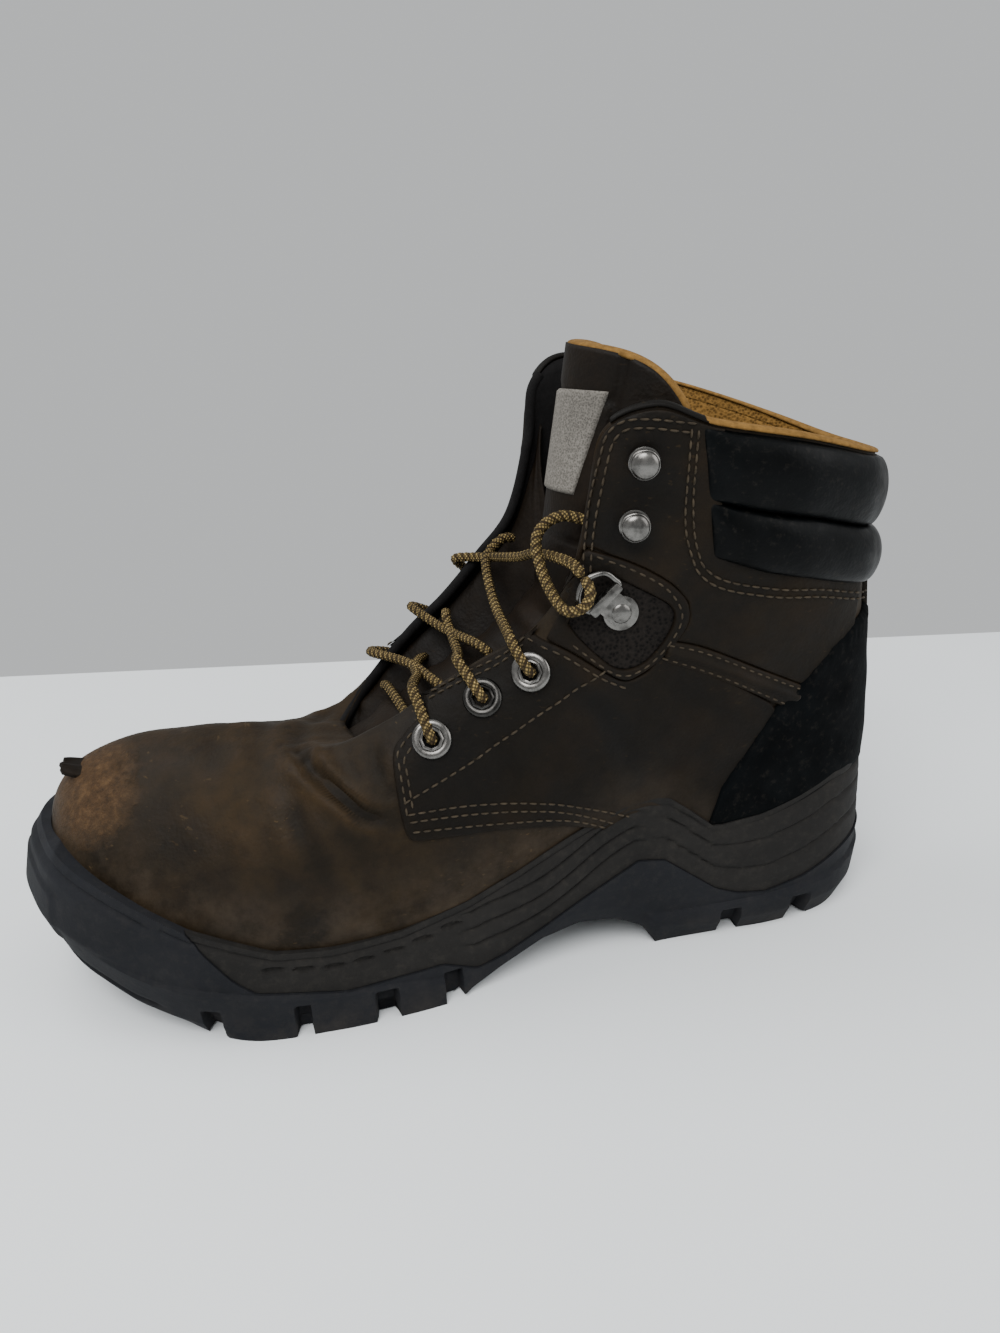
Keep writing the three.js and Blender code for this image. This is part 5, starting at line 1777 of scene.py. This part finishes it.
def add_stitches(name, runs, lift, look, pitch, length, thick):
    """Small rounded stitches lying along each run, on both sides."""
    around = 6
    shape = np.array([(-1.0, 0.0), (-0.82, 0.62), (-0.4, 1.0), (0.4, 1.0), (0.82, 0.62), (1.0, 0.0)])
    points = []
    faces = []
    for side in (1, -1):
        for run in runs:
            fine = evenly(smooth_line(run, 0.5), pitch)
            v, t = side_spots(fine)
            columns = to_side(v, side)
            base = last(columns, t)
            out = last_normal(columns, t)
            here = base + out * (folds(columns, t) + lift)[:, None]
            way = unit(np.gradient(here, axis=0))
            across = np.cross(out, way)
            for p, w, o, a in zip(here, way, out, across):
                start = len(points)
                for s, r in shape:
                    for k in range(around):
                        angle = 2 * math.pi * k / around
                        sunk = o * (-0.35 * abs(s) ** 3)
                        points.append(
                            p + w * (s * length / 2) + sunk
                            + (a * math.cos(angle) + o * math.sin(angle)) * max(r, 0.08) * thick / 2
                        )
                faces += grid_faces(len(shape), around, wrap_columns=True, start=start)
                faces.append(tuple(start + k for k in reversed(range(around))))
                last_ring = start + (len(shape) - 1) * around
                faces.append(tuple(last_ring + k for k in range(around)))
    piece = mesh_piece(name, np.array(points), faces)
    finish_piece(piece, LOOKS[look], ["upper"])


def offset_line(line, distance):
    """A line of x and z moved sideways, kept in order."""
    fine = evenly(smooth_line(line, 0.5), 2.0)
    along = unit(np.gradient(fine, axis=0))
    return [tuple(p) for p in fine + np.stack([-along[:, 1], along[:, 0]], axis=1) * distance]


def build_stitches():
    sizes = bpy.context.scene.boot_sizes
    pitch = sizes.stitch_pitch * PER_METRE
    lift = sizes.panel_thickness * PER_METRE + 0.15
    patch_mid = [(110, 150.4), (100, 146), (91, 140.4), (85.8, 134), (84.6, 128), (88, 121), (93, 115.6),
                 (98, 112.2), (103.2, 111), (109, 113.6), (119, 122.2)]
    runs = STITCH_LINES + [
        offset_line(PIPING_UPPER, 1.5), offset_line(PIPING_UPPER, 3.2)[2:-2],
        offset_line(PIPING_LOWER, -1.3), patch_mid,
        offset_line(QUARTER_TOP[:4], 2.2), top_line(134, 167, 4.2), top_line(135, 165, 6.6),
    ]
    add_stitches("upper_stitching", runs, lift, "thread", pitch, pitch * 0.82, 0.75)


# ---- stage -------------------------------------------------------------------------------
EYE = (179.8, 318.2, 234.2)
AIM = (138.5, 0.0, 101.6)
TILT = -2.89                   # degrees
FOCAL = 25.87                  # on 36 mm across the long side
FLOOR_END = -0.2755            # metres
FLOOR_TURN = -8.25             # degrees


def build_camera():
    eye, aim = placed(EYE), placed(AIM)
    back = unit((eye - aim)[None])[0]
    right = unit(np.cross((0, 0, 1.0), back)[None])[0]
    up = np.cross(back, right)
    roll = math.radians(TILT)
    side = math.cos(roll) * right + math.sin(roll) * up
    top = -math.sin(roll) * right + math.cos(roll) * up
    bpy.ops.object.camera_add(location=tuple(eye))
    camera = bpy.context.object
    camera.name = "camera"
    camera.data.lens = FOCAL
    camera.data.sensor_width = 36
    camera.data.clip_start = 0.01
    camera.matrix_world = Matrix((
        (side[0], top[0], back[0], eye[0]),
        (side[1], top[1], back[1], eye[1]),
        (side[2], top[2], back[2], eye[2]),
        (0, 0, 0, 1),
    ))
    bpy.context.scene.camera = camera
    deselect()


def area_light(name, place, aim, size, power):
    bpy.ops.object.light_add(type="AREA", location=place)
    lamp = bpy.context.object
    lamp.name = name
    lamp.data.shape = "DISK"
    lamp.data.size = size
    lamp.data.energy = power
    way = Vector(aim) - Vector(place)
    lamp.rotation_euler = way.to_track_quat("-Z", "Y").to_euler()
    return lamp


def build_stage():
    """A pale floor that ends behind the boot, in front of a plain grey background."""
    turn = math.radians(FLOOR_TURN)
    half = 3.0
    centre = (-half * math.sin(turn), FLOOR_END + half * math.cos(turn), 0)
    bpy.ops.mesh.primitive_plane_add(size=2 * half, location=centre, rotation=(0, 0, turn))
    floor = bpy.context.object
    floor.name = "floor"
    bpy.ops.object.transform_apply(location=True, rotation=True, scale=True)
    look = Look("pale floor", 0.6)
    cloud = look.noise(4.0, 3)
    paint = look.ramp(cloud, (0.3, tone(232, 236, 238)), (0.7, tone(238, 241, 242)))
    floor.data.materials.append(look.done(paint))
    lights = [
        area_light("window", (0.35, 0.75, 1.15), (0, 0, 0.08), 0.9, 16.5),
        area_light("side_fill", (-0.9, 0.45, 0.6), (0, 0, 0.1), 0.9, 5.5),
        area_light("back", (0.5, -0.25, 0.95), (0, 0, 0.1), 0.7, 5),
    ]
    world = bpy.data.worlds.new("soft room")
    bpy.context.scene.world = world
    world.use_nodes = True
    world.node_tree.nodes["Background"].inputs["Color"].default_value = (0.87, 0.89, 0.9, 1.0)
    world.node_tree.nodes["Background"].inputs["Strength"].default_value = 0.67
    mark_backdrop(floor, *lights)
    deselect()


# ---- add-on ------------------------------------------------------------------------------
class BootSizes(bpy.types.PropertyGroup):
    lace_thickness: FloatProperty(
        name="Lace thickness", description="Diameter of the round lace", default=0.0036, unit="LENGTH")
    panel_thickness: FloatProperty(
        name="Panel thickness", description="How far the sewn panels stand out", default=0.0013,
        unit="LENGTH")
    stitch_pitch: FloatProperty(
        name="Stitch pitch", description="Distance from stitch to stitch", default=0.0034, unit="LENGTH")


def colour_property(name, description, default):
    return FloatVectorProperty(name=name, description=description, default=default[:3], size=3,
                               min=0.0, max=1.0, subtype="COLOR")


class BootColours(bpy.types.PropertyGroup):
    leather: colour_property("Leather", "Oiled leather of the vamp", tone(37, 30, 20))
    gusset: colour_property("Tongue", "Leather of the tongue and gusset", tone(27, 21, 14))
    black_leather: colour_property("Black leather", "Collar rolls and counter", tone(9, 11, 12))
    rubber: colour_property("Outsole", "Rubber of the outsole and toe bumper", tone(30, 31, 34))
    midsole: colour_property("Midsole", "Rubber of the midsole", tone(33, 32, 31))
    lining: colour_property("Lining", "Mesh lining and its tape", tone(122, 92, 50))
    lace: colour_property("Laces", "Braided lace", tone(140, 120, 78))
    steel: colour_property("Metal", "Eyelets, studs and D-rings", tone(108, 106, 103))


class BootStep:
    bl_options = {"REGISTER", "UNDO"}

    def execute(self, context):
        if not LOOKS:
            make_looks()
            find_crease_lines()
        type(self).build()
        return {"FINISHED"}


class BOOT_OT_camera(BootStep, bpy.types.Operator):
    """Set the camera in front of the outer side"""
    bl_idname = "boot.camera"
    bl_label = "Camera"
    build = staticmethod(build_camera)


class BOOT_OT_laces(BootStep, bpy.types.Operator):
    """Build the braided laces through the eyelets"""
    bl_idname = "boot.laces"
    bl_label = "Laces"
    build = staticmethod(build_laces)


class BOOT_OT_upper(BootStep, bpy.types.Operator):
    """Build the creased upper leather, its lining and the collar tape"""
    bl_idname = "boot.upper"
    bl_label = "Upper"
    build = staticmethod(build_upper)


class BOOT_OT_panels(BootStep, bpy.types.Operator):
    """Lay the quarter, shaft and ankle panels on the upper"""
    bl_idname = "boot.panels"
    bl_label = "Panels"
    build = staticmethod(build_panels)


class BOOT_OT_stitches(BootStep, bpy.types.Operator):
    """Sew the panels down"""
    bl_idname = "boot.stitches"
    bl_label = "Stitches"
    build = staticmethod(build_stitches)


class BOOT_OT_counter(BootStep, bpy.types.Operator):
    """Build the heel counter"""
    bl_idname = "boot.counter"
    bl_label = "Heel counter"
    build = staticmethod(build_counter)


class BOOT_OT_rolls(BootStep, bpy.types.Operator):
    """Build the padded collar rolls"""
    bl_idname = "boot.rolls"
    bl_label = "Collar rolls"
    build = staticmethod(build_rolls)


class BOOT_OT_tongue(BootStep, bpy.types.Operator):
    """Build the padded tongue, its tape and its blank label"""
    bl_idname = "boot.tongue"
    bl_label = "Tongue"
    build = staticmethod(build_tongue)


class BOOT_OT_insole(BootStep, bpy.types.Operator):
    """Build the insole"""
    bl_idname = "boot.insole"
    bl_label = "Insole"
    build = staticmethod(build_insole)


class BOOT_OT_sole(BootStep, bpy.types.Operator):
    """Build the midsole and the outsole with its toe bumper"""
    bl_idname = "boot.sole"
    bl_label = "Sole"
    build = staticmethod(build_sole)


class BOOT_OT_eyelets(BootStep, bpy.types.Operator):
    """Set the eyelets"""
    bl_idname = "boot.eyelets"
    bl_label = "Eyelets"
    build = staticmethod(build_eyelets)


class BOOT_OT_studs(BootStep, bpy.types.Operator):
    """Set the hook studs"""
    bl_idname = "boot.studs"
    bl_label = "Hook studs"
    build = staticmethod(build_studs)


class BOOT_OT_d_rings(BootStep, bpy.types.Operator):
    """Set the D-rings with their clips"""
    bl_idname = "boot.d_rings"
    bl_label = "D-rings"
    build = staticmethod(build_d_rings)


class BOOT_OT_stage(BootStep, bpy.types.Operator):
    """Build the floor, the background and the lights"""
    bl_idname = "boot.stage"
    bl_label = "Stage"
    build = staticmethod(build_stage)


OPERATORS = (
    BOOT_OT_camera, BOOT_OT_laces, BOOT_OT_upper, BOOT_OT_panels, BOOT_OT_stitches, BOOT_OT_counter,
    BOOT_OT_rolls, BOOT_OT_tongue, BOOT_OT_insole, BOOT_OT_sole, BOOT_OT_eyelets, BOOT_OT_studs,
    BOOT_OT_d_rings, BOOT_OT_stage,
)


class BOOT_PT_panel(bpy.types.Panel):
    """The boot's sizes, colours and steps"""
    bl_idname = "BOOT_PT_panel"
    bl_label = "Work boot"
    bl_space_type = "VIEW_3D"
    bl_region_type = "UI"
    bl_category = "Boot"

    def draw(self, context):
        layout = self.layout
        for settings in (context.scene.boot_sizes, context.scene.boot_colours):
            for name in settings.__annotations__:
                layout.prop(settings, name)
        for operator in OPERATORS:
            layout.operator(operator.bl_idname)


CLASSES = (BootSizes, BootColours) + OPERATORS + (BOOT_PT_panel,)


def register():
    for made in CLASSES:
        bpy.utils.register_class(made)
    bpy.types.Scene.boot_sizes = PointerProperty(type=BootSizes)
    bpy.types.Scene.boot_colours = PointerProperty(type=BootColours)


def unregister():
    del bpy.types.Scene.boot_colours
    del bpy.types.Scene.boot_sizes
    for made in reversed(CLASSES):
        bpy.utils.unregister_class(made)


def plain(value):
    """Nested tuples and vectors as lists of floats."""
    if isinstance(value, (int, float)):
        return float(value)
    return [plain(part) for part in value]


def main():
    register()
    deselect()
    bpy.ops.boot.camera()
    bpy.ops.boot.laces()
    bpy.ops.boot.upper()
    bpy.ops.boot.panels()
    bpy.ops.boot.stitches()
    bpy.ops.boot.counter()
    bpy.ops.boot.rolls()
    bpy.ops.boot.tongue()
    bpy.ops.boot.insole()
    bpy.ops.boot.sole()
    bpy.ops.boot.eyelets()
    bpy.ops.boot.studs()
    bpy.ops.boot.d_rings()
    bpy.ops.boot.stage()
    {"cad": plain(CAD_BOX), "scene": plain(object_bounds())}


if __name__ == "__main__":
    main()
